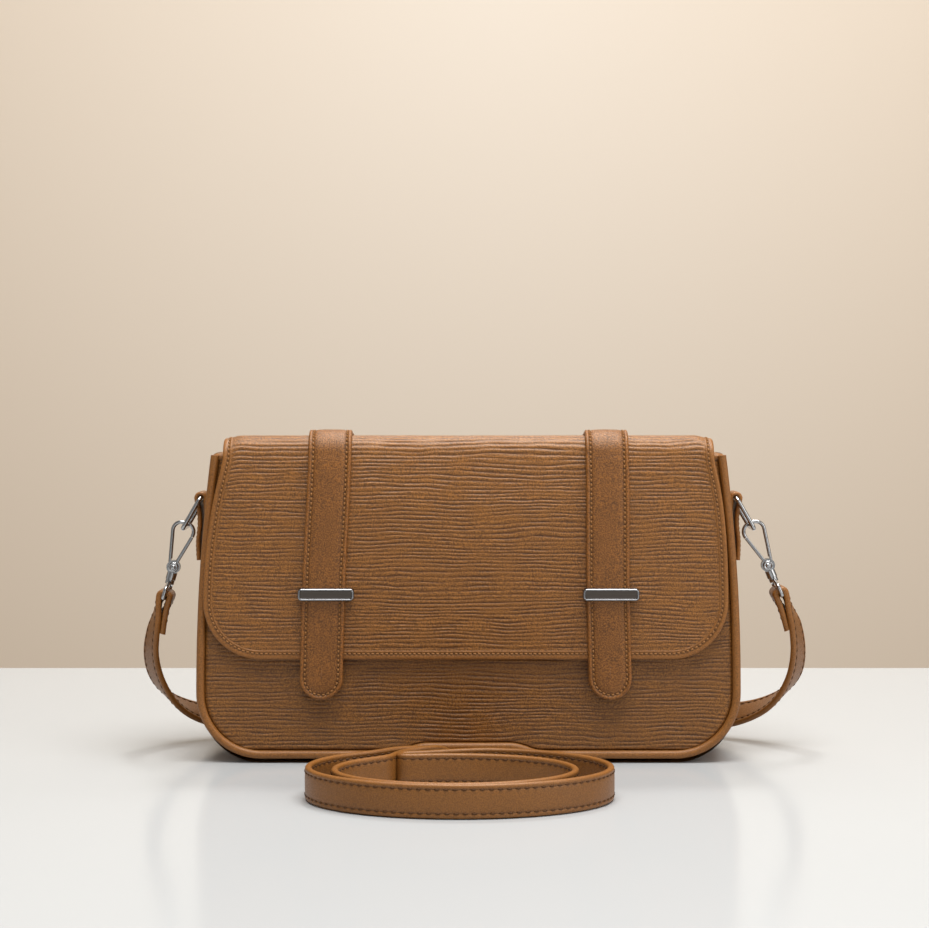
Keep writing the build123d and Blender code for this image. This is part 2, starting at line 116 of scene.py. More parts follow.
# Shoulder strap
STRAP_HALF = 7.25

# Stitches
STITCH_PITCH = 2.2
STITCH_LENGTH = 1.6
STITCH_R = 0.46
FINE_STITCH_R = 0.26      # on the gusset and the side tabs


# ---------------------------------------------------------------- numbers

def smooth(low, high, value):
    """0 at low and under, 1 at high and over, with an eased rise between them."""
    t = np.clip((np.asarray(value, float) - low) / (high - low), 0, 1)
    return t * t * (3 - 2 * t)


def unit(vectors):
    """The vectors at a length of one."""
    vectors = np.asarray(vectors, float)
    return vectors / np.maximum(np.linalg.norm(vectors, axis=-1, keepdims=True), 1e-9)


class Noise:
    """Smooth gradient noise over the plane, from about -1 to 1."""

    SIZE = 256

    def __init__(self, seed):
        angle = np.random.default_rng(seed).uniform(0, 2 * math.pi, (self.SIZE, self.SIZE))
        self.gx = np.cos(angle)
        self.gy = np.sin(angle)

    def __call__(self, x, y):
        x, y = np.broadcast_arrays(np.asarray(x, float), np.asarray(y, float))
        column = np.floor(x).astype(int)
        row = np.floor(y).astype(int)
        fx = x - column
        fy = y - row
        ease_x = fx ** 3 * (fx * (fx * 6 - 15) + 10)
        ease_y = fy ** 3 * (fy * (fy * 6 - 15) + 10)

        def corner(i, j):
            r = (row + j) % self.SIZE
            c = (column + i) % self.SIZE
            return self.gx[r, c] * (fx - i) + self.gy[r, c] * (fy - j)

        low = corner(0, 0) * (1 - ease_x) + corner(1, 0) * ease_x
        high = corner(0, 1) * (1 - ease_x) + corner(1, 1) * ease_x
        return (low * (1 - ease_y) + high * ease_y) * 1.5


WARP = Noise(11)
DRIFT = Noise(12)
STREAK = Noise(13)
CREASE = Noise(14)


def ripple(x, v):
    """The embossed grain: rounded ridges with narrow grooves that wander, merge and part, 0 to 1."""
    flow = 0.3 + 0.7 * smooth(-80, -10, x)
    drift = 1.1 * flow * WARP(x / 50 + 0.3, v / 19 + 0.7) + 0.27 * DRIFT(x / 13, v / 4.6)
    phase = 2 * math.pi * (v / GRAIN_PITCH + drift)
    groove = (0.5 + 0.5 * np.cos(phase)) ** 1.8
    depth = np.clip(0.95 + 0.7 * DRIFT(x / 13 + 40, v / 4 + 9), 0.35, 1.3)
    fine = STREAK(x / 8, v / 0.9 + 31)
    return np.clip(0.8 - 0.72 * groove * depth + 0.16 * fine, -0.2, 1.25)


# ---------------------------------------------------------------- meshes

class Mesher:
    """Gathers points and faces of one piece, with a material and a shade from 0 to 1 for each: painted shade
    below 0.5 and painted highlight above it, with some tone that varies at random.
    """

    def __init__(self):
        self.points = []
        self.shades = []
        self.faces = []
        self.materials = []
        self.count = 0

    def add(self, points, faces, material=0, shade=0.5):
        points = np.asarray(points, float).reshape(-1, 3)
        self.points.append(points)
        self.shades.append(np.broadcast_to(np.asarray(shade, float).reshape(-1), (len(points),)))
        for face in faces:
            self.faces.append([int(i) + self.count for i in face])
            self.materials.append(material)
        self.count += len(points)

    def grid(self, points, material=0, shade=0.5, loop_rows=False, loop_columns=False, flip=False):
        """A sheet of rows x columns points. loop_rows joins the last row to the first."""
        points = np.asarray(points, float)
        rows, columns = points.shape[:2]
        index = np.arange(rows * columns).reshape(rows, columns)
        if loop_rows:
            index = np.vstack([index, index[:1]])
        if loop_columns:
            index = np.hstack([index, index[:, :1]])
        faces = np.stack([index[:-1, :-1], index[:-1, 1:], index[1:, 1:], index[1:, :-1]], -1)
        faces = faces.reshape(-1, 4)
        if flip:
            faces = faces[:, ::-1]
        shade = np.asarray(shade, float)
        if shade.ndim:
            shade = np.broadcast_to(shade, (rows, columns))
        self.add(points, faces, material, shade)

    def cap(self, ring, material=0, shade=0.5, flip=False):
        order = range(len(ring) - 1, -1, -1) if flip else range(len(ring))
        self.add(ring, [list(order)], material, shade)

    def build(self, name, materials):
        mesh = bpy.data.meshes.new(name)
        points = np.concatenate(self.points) * MM
        mesh.from_pydata(points.tolist(), [], self.faces)
        mesh.polygons.foreach_set("material_index", self.materials)
        mesh.polygons.foreach_set("use_smooth", [True] * len(self.faces))
        shade = mesh.attributes.new("shade", "FLOAT", "POINT")
        shade.data.foreach_set("value", np.concatenate(self.shades).astype(np.float32))
        for material in materials:
            mesh.materials.append(material)
        piece = bpy.data.objects.new(name, mesh)
        bpy.context.scene.collection.objects.link(piece)
        return piece


def resample(points, step):
    """Points at even steps along a line of points."""
    points = np.asarray(points, float)
    run = np.linalg.norm(np.diff(points, axis=0), axis=1)
    along = np.concatenate([[0], np.cumsum(run)])
    count = max(2, int(round(along[-1] / step)) + 1)
    at = np.linspace(0, along[-1], count)
    return np.stack([np.interp(at, along, points[:, i]) for i in range(points.shape[1])], -1)


STITCH_SIDES = 6
STITCH_RINGS = ((-1.0, 0.45), (-0.75, 0.85), (0.0, 1.0), (0.75, 0.85), (1.0, 0.45))


def stitch(mesher, points, normals, material=1, pitch=STITCH_PITCH, length=STITCH_LENGTH,
           radius=STITCH_R, sink=0.08, shade=0.5):
    """A row of thread stitches along points, each bowed with its ends sunk into the leather."""
    points = np.asarray(points, float)
    normals = np.asarray(normals, float)
    both = resample(np.hstack([points, normals]), pitch)
    spot = (both[1:, :3] + both[:-1, :3]) / 2
    along = unit(both[1:, :3] - both[:-1, :3])
    up = unit((both[1:, 3:] + both[:-1, 3:]) / 2)
    across = np.cross(along, up)
    turn = np.arange(STITCH_SIDES) * 2 * math.pi / STITCH_SIDES
    rings = []
    for place, size in STITCH_RINGS:
        lift = radius - sink - 0.75 * radius * place ** 2
        middle = spot + along * place * length / 2 + up * lift
        circle = [
            middle + size * radius * (math.cos(a) * across + 0.8 * math.sin(a) * up) for a in turn
        ]
        rings.append(np.stack(circle, 1))
    shape = np.stack(rings, 1)
    count = len(STITCH_RINGS) * STITCH_SIDES
    faces = []
    for r in range(len(STITCH_RINGS) - 1):
        for s in range(STITCH_SIDES):
            n = (s + 1) % STITCH_SIDES
            low = r * STITCH_SIDES
            faces.append((low + s, low + n, low + STITCH_SIDES + n, low + STITCH_SIDES + s))
    faces.append(tuple(range(STITCH_SIDES - 1, -1, -1)))
    faces.append(tuple(range(count - STITCH_SIDES, count)))
    every = [[i + k * count for i in face] for k in range(len(spot)) for face in faces]
    mesher.add(shape.reshape(-1, 3), every, material, shade)


# ---------------------------------------------------------------- materials

LEATHER_GLOSS = (1.0, 0.85, 0.72)     # waxed leather and thread reflect a warm light


class Shader:
    """A procedural material and the nodes that are added to it."""

    def __init__(self, name, metallic=0.0, roughness=0.5, specular=0.5, tint=(1, 1, 1)):
        self.material = bpy.data.materials.new(name)
        self.material.use_nodes = True
        self.nodes = self.material.node_tree.nodes
        self.links = self.material.node_tree.links
        self.main = self.nodes["Principled BSDF"]
        self.main.inputs["Metallic"].default_value = metallic
        self.main.inputs["Roughness"].default_value = roughness
        self.main.inputs["Specular IOR Level"].default_value = specular
        self.main.inputs["Specular Tint"].default_value = (*tint, 1)
        self.where = self.nodes.new("ShaderNodeTexCoord").outputs["Object"]

    def feed(self, name, output):
        """Links an output to an input of the main shader."""
        self.links.new(output, self.main.inputs[name])

    def noise(self, scale, detail=3.0, rough=0.55, stretch=None):
        where = self.where
        if stretch:
            mapping = self.nodes.new("ShaderNodeMapping")
            mapping.inputs["Scale"].default_value = stretch
            self.links.new(where, mapping.inputs["Vector"])
            where = mapping.outputs["Vector"]
        node = self.nodes.new("ShaderNodeTexNoise")
        node.inputs["Scale"].default_value = scale
        node.inputs["Detail"].default_value = detail
        node.inputs["Roughness"].default_value = rough
        self.links.new(where, node.inputs["Vector"])
        return node.outputs["Fac"]

    def ramp(self, factor, stops):
        """The colour for a factor, from stops of a place and a colour."""
        node = self.nodes.new("ShaderNodeValToRGB")
        ramp = node.color_ramp
        for element, (place, colour) in zip(ramp.elements, (stops[0], stops[-1])):
            element.position = place
            element.color = (*colour, 1)
        for place, colour in stops[1:-1]:
            ramp.elements.new(place).color = (*colour, 1)
        self.links.new(factor, node.inputs["Fac"])
        return node.outputs["Color"]

    def bump(self, height, distance, strength=1.0, after=None):
        """A normal from a height, on top of another bump's normal where one is given."""
        node = self.nodes.new("ShaderNodeBump")
        node.inputs["Distance"].default_value = distance
        node.inputs["Strength"].default_value = strength
        self.links.new(height, node.inputs["Height"])
        if after:
            self.links.new(after, node.inputs["Normal"])
        return node.outputs["Normal"]

    def multiply(self, first, second):
        node = self.nodes.new("ShaderNodeMix")
        node.data_type = "RGBA"
        node.blend_type = "MULTIPLY"
        node.inputs["Factor"].default_value = 1.0
        self.links.new(first, node.inputs["A"])
        self.links.new(second, node.inputs["B"])
        return node.outputs["Result"]


def leather(name, base, dark=0.45, light=1.35, pebble=1900.0, pebble_depth=0.00009, roughness=0.42,
            speckle=0.45):
    """Leather whose colour follows the piece's painted shade and painted highlight, with a fine pebbled grain
    and soft mottling.
    """
    look = Shader(name, roughness=roughness, specular=0.62, tint=LEATHER_GLOSS)
    base = np.array(base)
    # The shade attribute becomes colour: darker and browner for painted shade, lighter for painted highlight.
    deep = base * dark * np.array((1.0, 0.86, 0.7))
    attribute = look.nodes.new("ShaderNodeAttribute")
    attribute.attribute_name = "shade"
    colour = look.ramp(attribute.outputs["Fac"], [(0.0, deep), (0.5, base), (1.0, base * light)])
    mottle = look.ramp(look.noise(55.0, detail=5.0), [(0.3, (0.93, 0.92, 0.91)), (0.7, (1.02, 1.02, 1.02))])
    colour = look.multiply(colour, mottle)
    fine = look.noise(pebble, detail=2.0, rough=0.6)
    low = 1 - speckle * np.array((1.1, 1.2, 1.3))
    speck = look.ramp(fine, [(0.41, low), (0.59, (1 + speckle,) * 3)])
    look.feed("Base Color", look.multiply(colour, speck))
    look.feed("Roughness", look.ramp(fine, [(0.3, (roughness + 0.12,) * 3), (0.7, (roughness - 0.06,) * 3)]))
    normal = look.bump(fine, pebble_depth)
    look.feed("Normal", look.bump(look.noise(170.0), 0.00025, 0.5, normal))
    return look.material


def thread(name, base):
    """Waxed thread with a fine twist."""
    look = Shader(name, roughness=0.55, specular=0.3, tint=LEATHER_GLOSS)
    twist = look.noise(2600.0, detail=1.0)
    base = np.array(base)
    look.feed("Base Color", look.ramp(twist, [(0.3, base * 0.7), (0.7, base * 1.1)]))
    look.feed("Normal", look.bump(twist, 0.00008))
    return look.material


def fabric(name, base):
    """Plain woven lining."""
    look = Shader(name, roughness=0.85, specular=0.2)
    base = np.array(base)
    warp = look.noise(1.0, detail=0.0, stretch=(2600, 2600, 300))
    weft = look.noise(1.0, detail=0.0, stretch=(300, 300, 2600))
    first = look.ramp(warp, [(0.35, base * 0.75), (0.65, base * 1.1)])
    second = look.ramp(weft, [(0.35, (0.8, 0.8, 0.8)), (0.65, (1.0, 1.0, 1.0))])
    look.feed("Base Color", look.multiply(first, second))
    look.feed("Normal", look.bump(weft, 0.0001, 1.0, look.bump(warp, 0.0001)))
    look.main.inputs["Sheen Weight"].default_value = 0.25
    return look.material


def metal(name, base, roughness, brushed=False):
    """Plated metal with faint wear, brushed across where asked."""
    look = Shader(name, metallic=1.0, roughness=roughness)
    base = np.array(base)
    stretch = (60, 60, 3000) if brushed else None
    grain = look.noise(1.0 if brushed else 260.0, detail=4.0, stretch=stretch)
    look.feed("Base Color", look.ramp(grain, [(0.3, base * 0.88), (0.7, base)]))
    look.feed("Roughness", look.ramp(grain, [(0.3, (roughness * 1.35,) * 3), (0.7, (roughness * 0.85,) * 3)]))
    look.feed("Normal", look.bump(grain, 0.00004 if brushed else 0.00002, 0.6))
    return look.material


def board(name, base):
    """Pressed fibre board."""
    look = Shader(name, roughness=0.8, specular=0.2)
    fibre = look.noise(700.0, detail=4.0)
    base = np.array(base)
    look.feed("Base Color", look.ramp(fibre, [(0.3, base * 0.7), (0.7, base * 1.2)]))
    look.feed("Normal", look.bump(fibre, 0.0001))
    return look.material


GRAINED = leather("grained_leather", (0.215, 0.083, 0.014), dark=0.50, light=1.10,
                  pebble_depth=0.00015, roughness=0.40)
# The flap's leather made darker for the body's panels: painted shade for the dimmer light that reaches them
# below the flap.
SHADED_BODY_GRAINED = leather("body_leather_painted_shade", (0.178, 0.068, 0.0105), dark=0.52, light=1.08, pebble_depth=0.00015)
SMOOTH = leather("smooth_leather", (0.210, 0.079, 0.0135), pebble=2000.0, roughness=0.43, speckle=0.24)
STRAP_LEATHER = leather("strap_leather", (0.188, 0.068, 0.0105), pebble=1800.0, pebble_depth=0.00022)
SHOULDER_LEATHER = leather("shoulder_leather", (0.196, 0.074, 0.0125), pebble=1800.0,
                           pebble_depth=0.00012, roughness=0.40, speckle=0.16)
THREAD = thread("thread", (0.29, 0.13, 0.04))
DARK_THREAD = thread("dark_thread", (0.085, 0.032, 0.008))
LINING = fabric("lining_fabric", (0.20, 0.115, 0.06))
BOARD = board("board", (0.10, 0.09, 0.08))
STEEL = metal("polished_metal", (0.45, 0.45, 0.455), 0.15)
DARK_STEEL = metal("dark_metal", (0.30, 0.30, 0.31), 0.2)
BRUSHED = metal("brushed_metal", (0.115, 0.098, 0.085), 0.34, brushed=True)
MAGNET = metal("magnet", (0.5, 0.5, 0.52), 0.3)


# ---------------------------------------------------------------- places on the hooks, and their rivets

def hook_place(name, out, up, y=MIDDLE_Y):
    """A place on a hook, out from and up from the ring's bar, in the bag's frame."""
    tilt = math.radians(HOOK_TILT[name])
    x = RING_BAR[0] + out * math.cos(tilt) - up * math.sin(tilt)
    z = RING_BAR[1] + out * math.sin(tilt) + up * math.cos(tilt)
    return (SIDES[name] * x, y, z)


RIVET_Z = -20.3           # from the ring's bar along the hook
RIVET_POINTS = 32
# From the front of the domed head to the back one: radius, towards the front
RIVET_SECTION = [
    (0.02, 3.45), (0.75, 3.4), (1.0, 3.2), (1.2, 3.0), (1.45, 3.0), (1.65, 3.25), (2.1, 3.3), (2.4, 3.1),
    (2.5, 2.8), (2.5, 2.12), (0.8, 2.1), (0.8, -2.1), (1.6, -2.12), (1.6, -2.5), (1.3, -2.8), (0.02, -2.95),
]


def rivet(name):
    """The gate's rivet, with a ringed dome for its head."""
    turn = np.arange(RIVET_POINTS) * 2 * math.pi / RIVET_POINTS
    rings = []
    for radius, front in RIVET_SECTION:
        ring = [hook_place(name, radius * math.cos(a), RIVET_Z + radius * math.sin(a), MIDDLE_Y - front)
                for a in turn]
        rings.append(ring)
    mesher = Mesher()
    mesher.grid(np.array(rings), loop_columns=True, flip=name == "left")
    piece = mesher.build(f"{name}_ringed_rivet", [STEEL])
    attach(piece, f"{name}_hook")
    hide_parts(f"{name}_gate_rivet")


for side_name in SIDES:
    rivet(side_name)

# ---------------------------------------------------------------- shoulder strap

# Where the strap's centre runs from its left sewn end to the coil, and which way its width points
LEFT_ROUTE = [
    ((-157.4, 4.0, 47.0), (-0.50, 0.86, 0.0)),
    ((-155.0, 10.0, 33.0), (-0.60, 0.77, 0.2)),
    ((-147.5, 19.0, 21.0), (-0.58, 0.62, 0.53)),
    ((-134.5, 31.0, 13.0), (-0.45, 0.60, 0.64)),
    ((-117.0, 44.0, 9.3), (-0.30, 0.45, 0.84)),
    ((-95.0, 54.0, 7.9), (-0.12, 0.32, 0.94)),
    ((-71.0, 60.5, 7.9), (0.0, 0.1, 1.0)),
    ((-46.0, 63.0, 7.8), (0.0, 0.0, 1.0)),
    ((-26.0, 62.0, 7.8), (0.1, 0.0, 1.0)),
    ((-13.0, 54.0, 7.4), (0.7, 0.0, 0.7)),
    ((-9.2, 43.0, 2.8), (1.0, 0.0, 0.05)),
    ((-8.9, 30.0, 1.6), (1.0, 0.0, 0.0)),
    ((-9.2, 14.0, 1.6), (1.0, 0.0, 0.0)),
    ((-9.0, -6.0, 1.6), (1.0, 0.0, 0.0)),
    ((-9.4, -26.0, 1.6), (1.0, 0.0, 0.0)),
    ((-9.6, -42.0, 2.0), (1.0, 0.0, 0.0)),
    ((-12.0, -54.0, 3.6), (1.0, 0.1, 0.12)),
    ((-20.5, -65.0, 7.2), (0.72, 0.2, 0.6)),
    ((-33.0, -75.2, 7.9), (0.08, 0.0, 1.0)),
]
# From the coil back to the right sewn end
RIGHT_ROUTE = [
    ((-35.2, -95.8, 7.7), (0.0, 0.0, 1.0)),
    ((-32.8, -88.0, 7.7), (0.0, 0.0, 1.0)),
    ((-28.5, -80.3, 7.7), (0.0, 0.0, 1.0)),
    ((-19.0, -74.2, 7.9), (-0.08, 0.0, 1.0)),
    ((-8.0, -67.6, 7.2), (-0.72, 0.2, 0.6)),
    ((4.0, -57.0, 3.6), (-1.0, 0.1, 0.12)),
    ((8.6, -43.0, 2.0), (-1.0, 0.0, 0.0)),
    ((8.8, -26.0, 1.6), (-1.0, 0.0, 0.0)),
    ((9.3, -6.0, 1.6), (-1.0, 0.0, 0.0)),
    ((9.1, 14.0, 1.6), (-1.0, 0.0, 0.0)),
    ((9.2, 31.0, 1.6), (-1.0, 0.0, 0.0)),
    ((9.8, 43.0, 2.8), (-1.0, 0.0, 0.05)),
    ((16.0, 55.0, 7.4), (-0.7, 0.0, 0.7)),
    ((33.0, 63.0, 7.8), (-0.1, 0.0, 1.0)),
    ((57.0, 64.0, 7.8), (0.0, 0.0, 1.0)),
    ((82.0, 60.0, 7.9), (0.0, 0.1, 1.0)),
    ((106.0, 52.5, 8.2), (0.12, 0.32, 0.94)),
    ((126.5, 41.5, 10.2), (0.30, 0.45, 0.84)),
    ((143.0, 29.0, 14.8), (0.45, 0.60, 0.64)),
    ((155.0, 17.5, 23.0), (0.58, 0.62, 0.53)),
    ((162.0, 9.0, 34.5), (0.60, 0.77, 0.2)),
    ((163.6, 4.0, 48.0), (0.50, 0.86, 0.0)),
]
HAIRPIN = [(-1.5, -78.6), (-13.0, -82.4), (-23.0, -85.6), (-31.3, -87.2), (-31.3, -93.0), (-24.5, -93.4)]
OUTER_RING = {"centre": (-4.0, -121.3), "half": (66.9, 45.7), "turn": (125, 436)}
INNER_RING = {"centre": (-6.0, -127.7), "half": (53.0, 36.2), "turn": (102, -228)}
RING_STEP = 20.0          # degrees between the points of the coil, 18 to a turn
COIL_Z = STRAP_HALF + 0.35
ON_EDGE = (0.0, 0.0, 1.0)

# The fold round an eye: out from and up from the eye's bar, and how far the strap is twisted there
SEWN_FOLD = [(-1.6, -17.0, 26), (-1.6, -9.0, 14), (-2.55, -1.0, 0), (-2.55, 2.55, 0), (2.55, 2.55, 0),
             (2.55, -1.0, 0), (1.6, -9.0, 14), (1.5, -17.0, 26)]


def sewn_end(name):
    """The strap's fold round its eye: up the sewn tail, over the eye's bar and down."""
    fold = []
    for out, up, degrees in SEWN_FOLD:
        twist = math.radians(degrees)
        place = hook_place(name, out * math.cos(twist), EYE_BAR_Z + up, MIDDLE_Y - out * math.sin(twist))
        fold.append((place, (SIDES[name] * math.sin(twist), math.cos(twist), 0.0)))
    return fold


def coil_turn(ring):
    """A turn of the coil, standing on the strap's edge."""
    start, end = ring["turn"]
    steps = int(round(abs(end - start) / RING_STEP))
    turn = []
    for i in range(steps + 1):
        angle = math.radians(start + (end - start) * i / steps)
        x = ring["centre"][0] + ring["half"][0] * math.cos(angle)
        y = ring["centre"][1] + ring["half"][1] * math.sin(angle)
        turn.append(((x, y, COIL_Z), ON_EDGE))
    return turn


def strap_route():
    """The whole strap, from its left sewn end to its right one."""
    hairpin = [((x, y, COIL_Z), ON_EDGE) for x, y in HAIRPIN]
    return (sewn_end("left") + LEFT_ROUTE + coil_turn(OUTER_RING) + hairpin + coil_turn(INNER_RING)
            + RIGHT_ROUTE + sewn_end("right")[::-1])


def nurbs_line(name, points):
    """Points read from the smooth curve that has these control points."""
    curve = bpy.data.curves.new(name, "CURVE")
    curve.dimensions = "3D"
    curve.resolution_u = 12
    spline = curve.splines.new("NURBS")
    spline.points.add(len(points) - 1)
    for slot, place in zip(spline.points, points):
        slot.co = (*place, 1.0)
    spline.order_u = 3
    spline.use_endpoint_u = True
    holder = bpy.data.objects.new(name, curve)
    bpy.context.scene.collection.objects.link(holder)
    bpy.context.view_layer.update()
    mesh = bpy.data.meshes.new_from_object(holder)
    line = np.array([v.co for v in mesh.vertices], float)
    bpy.data.objects.remove(holder)
    bpy.data.curves.remove(curve)
    bpy.data.meshes.remove(mesh)
    return line


# A quarter of the strap's section, from its edge to its middle: across, out, shade (painted highlight on the
# rounded edge, painted shade in the sewn groove)
STRAP_SECTION = [
    (7.25, 0.0, 0.72), (7.20, 0.55, 0.78), (6.98, 1.05, 0.80), (6.55, 1.38, 0.72), (6.0, 1.47, 0.58),
    (5.45, 1.42, 0.48), (5.05, 1.20, 0.18), (4.65, 1.40, 0.44), (4.1, 1.48, 0.5), (2.2, 1.54, 0.5),
    (0.0, 1.55, 0.5),
]
GROOVE = (5.05, 1.22)     # the sewn groove: across from the strap's middle, and out


def strap_section():
    """The whole section, counter-clockwise from one edge, as across, out and shade."""
    top = STRAP_SECTION
    over = [(-a, b, s) for a, b, s in top[-2::-1]]
    under = [(a, -b, s) for a, b, s in top[:0:-1]]
    left_under = [(-a, -b, s) for a, b, s in top[1:-1]]
    return np.array(top + over + left_under + under)


def shoulder_strap():
    """The flat strap and its dark stitches, swept along one smooth line."""
    route = strap_route()
    places = [np.array(place) * MM for place, width in route]
    line = nurbs_line("strap_line", places)
    width = unit(nurbs_line("strap_width", [np.array(w, float) for place, w in route]))
    tangent = unit(np.gradient(line, axis=0))
    width = unit(width - tangent * np.sum(width * tangent, axis=1, keepdims=True))
    out = np.cross(tangent, width)
    line_mm = line / MM
    section = strap_section()
    rings = (line_mm[:, None, :] + section[None, :, 0, None] * width[:, None, :]
             + section[None, :, 1, None] * out[:, None, :])
    wear = 0.06 * WARP(np.arange(len(line)) / 14.0, 3.3)[:, None]
    mesher = Mesher()
    mesher.grid(rings, shade=np.clip(section[None, :, 2] + wear, 0, 1), loop_columns=True)
    mesher.cap(rings[0], shade=0.3, flip=True)
    mesher.cap(rings[-1], shade=0.3)
    across, height = GROOVE
    for edge in (-across, across):
        for face in (-1, 1):
            row = line_mm + edge * width + face * height * out
            stitch(mesher, row[4:-4], face * out[4:-4], pitch=3.8, length=2.5, radius=0.5, sink=0.25)
    piece = mesher.build("shoulder_strap", [SHOULDER_LEATHER, DARK_THREAD])
    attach(piece, "root")
    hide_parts("strap_coil", "strap_leg_left", "strap_leg_right", "left_strap_end", "right_strap_end")


shoulder_strap()

# ---------------------------------------------------------------- carried-over CAD nodes

HARDWARE = {
    "ring": STEEL, "hook_body": STEEL, "gate": STEEL, "gate_spring": STEEL,
    "swivel_stud": STEEL, "strap_eye": STEEL, "tip_magnet": MAGNET, "magnet_plate": MAGNET,
}


def set_material(node, material):
    """Gives a CAD node one material."""
    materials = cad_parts[node].data.materials
    materials.clear()
    materials.append(material)


def finish_nodes():
    """Materials for the CAD nodes that are kept as they are."""
    for name in SIDES:
        for part, material in HARDWARE.items():
            set_material(f"{name}_{part}", material)
    for node in ("front_stiffener", "back_stiffener", "base_board"):
        set_material(node, BOARD)


finish_nodes()

# ---------------------------------------------------------------- body of the bag

def half_width(z, inset, base):
    """Half of the body's width at height z, where its outline is moved in by inset."""
    z = np.asarray(z, float)
    corner = CORNER_R - inset
    middle = base + corner
    side = HALF_WIDTH - inset
    rise = BODY_HEIGHT - middle
    radius = (rise ** 2 + SIDE_TAPER ** 2) / (2 * SIDE_TAPER)
    upper = side - radius + np.sqrt(radius ** 2 - np.maximum(z - middle, 0) ** 2)
    lower = side - corner + np.sqrt(np.maximum(corner ** 2 - np.maximum(middle - z, 0) ** 2, 0))
    return np.where(z >= middle, upper, lower)


def bow(x):
    """How far the base rises above its lowest line."""
    return BOW * (1 - smooth(*BOW_SPAN, np.abs(x)))


def body_line(inset, base, step, top=BODY_HEIGHT):
    """The body's outline in XZ from its top left round its base to its top right."""
    corner = CORNER_R - inset
    middle = base + corner
    side_z = np.linspace(top, middle, 60)
    side = np.stack([half_width(side_z, inset, base), side_z], -1)
    turn = np.linspace(0, math.pi / 2, 40)[1:]
    round_x = HALF_WIDTH - inset - corner + corner * np.cos(turn)
    bend = np.stack([round_x, middle - corner * np.sin(turn)], -1)
    flat_x = np.linspace(bend[-1, 0], 0, 80)[1:]
    flat = np.stack([flat_x, base + bow(flat_x)], -1)
    right = np.concatenate([side, bend, flat])
    left = right[:-1] * (-1, 1)
    return resample(np.concatenate([left, right[::-1]]), step)


def line_normals(line):
    """Outward normals of an outline that runs from top left down to top right."""
    along = unit(np.gradient(line, axis=0))
    return np.stack([along[:, 1], -along[:, 0]], -1)


def swell(x, z):
    """How far the padded front and back stand out from their flat planes."""
    across = np.clip(1 - (np.asarray(x, float) / 128) ** 2, 0, 1)
    up = np.sin(math.pi * np.clip(np.asarray(z, float) / (BODY_HEIGHT + 8), 0, 1))
    return SWELL * across ** 0.7 * up ** 0.8


def body_panel(name, at_back):
    """A panel of embossed leather, tucked in along its piping."""
    facing = 1 if at_back else -1
    rows = np.linspace(0, 1, 460)[:, None]
    columns = np.linspace(-1, 1, 190)[None, :]
    z_flat = PANEL_BASE + (BODY_HEIGHT - PANEL_BASE) * rows
    wide = half_width(z_flat, PANEL_INSET, PANEL_BASE)
    x = columns * wide
    z = z_flat + bow(x) * (1 - rows) ** 6
    edge = np.minimum(wide - np.abs(x), z_flat - PANEL_BASE)
    grain = ripple(x + 300 * at_back, BODY_HEIGHT - z)
    fade = smooth(0.3, 2.6, edge)
    out = HALF_DEPTH - 1.5 * (1 - smooth(0.0, 1.8, edge)) + swell(x, z)
    out = out + GRAIN * (grain - 0.5) * fade
    y = MIDDLE_Y + facing * out
    # Painted shade in the grain's grooves, painted highlight on its ridges, and painted shade where the panel
    # tucks in along its piping.
    shade = 0.5 + (grain - 0.5) * 1.1 * fade - 0.25 * (1 - fade)
    mesher = Mesher()
    mesher.grid(np.stack([x, y, z], -1), shade=np.clip(shade, 0, 1), flip=at_back)
    piece = mesher.build(name, [SHADED_BODY_GRAINED])
    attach(piece, "root")
    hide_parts(name)


def body_piping(name, at_back):
    """Rounded welt in the seam, a little flattened from front to back."""
    facing = 1 if at_back else -1
    line = body_line(PIPING_INSET, PIPING_BASE, 1.6)
    normal = line_normals(line)
    depth = HALF_DEPTH + 0.1
    squash = 0.92
    turn = np.arange(20) * 2 * math.pi / 20
    bumps = 1 + 0.012 * CREASE(np.arange(len(line)) / 5.0, 0.5)
    out = PIPING_R * np.cos(turn)[None, :] * bumps[:, None]
    back = PIPING_R * squash * np.sin(turn)[None, :] * bumps[:, None]
    x = line[:, 0, None] + normal[:, 0, None] * out
    z = line[:, 1, None] + normal[:, 1, None] * out
    y = MIDDLE_Y + facing * (depth + back)
    shade = 0.62 + 0.1 * CREASE(np.arange(len(line)) / 20.0, 4.5)[:, None]
    mesher = Mesher()
    rings = np.stack([x, y, z], -1)
    mesher.grid(rings, shade=shade, loop_columns=True, flip=not at_back)
    mesher.cap(rings[0], shade=0.6)
    mesher.cap(rings[-1], shade=0.6, flip=True)
    piece = mesher.build(name, [SMOOTH])
    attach(piece, "root")
    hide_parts(name)


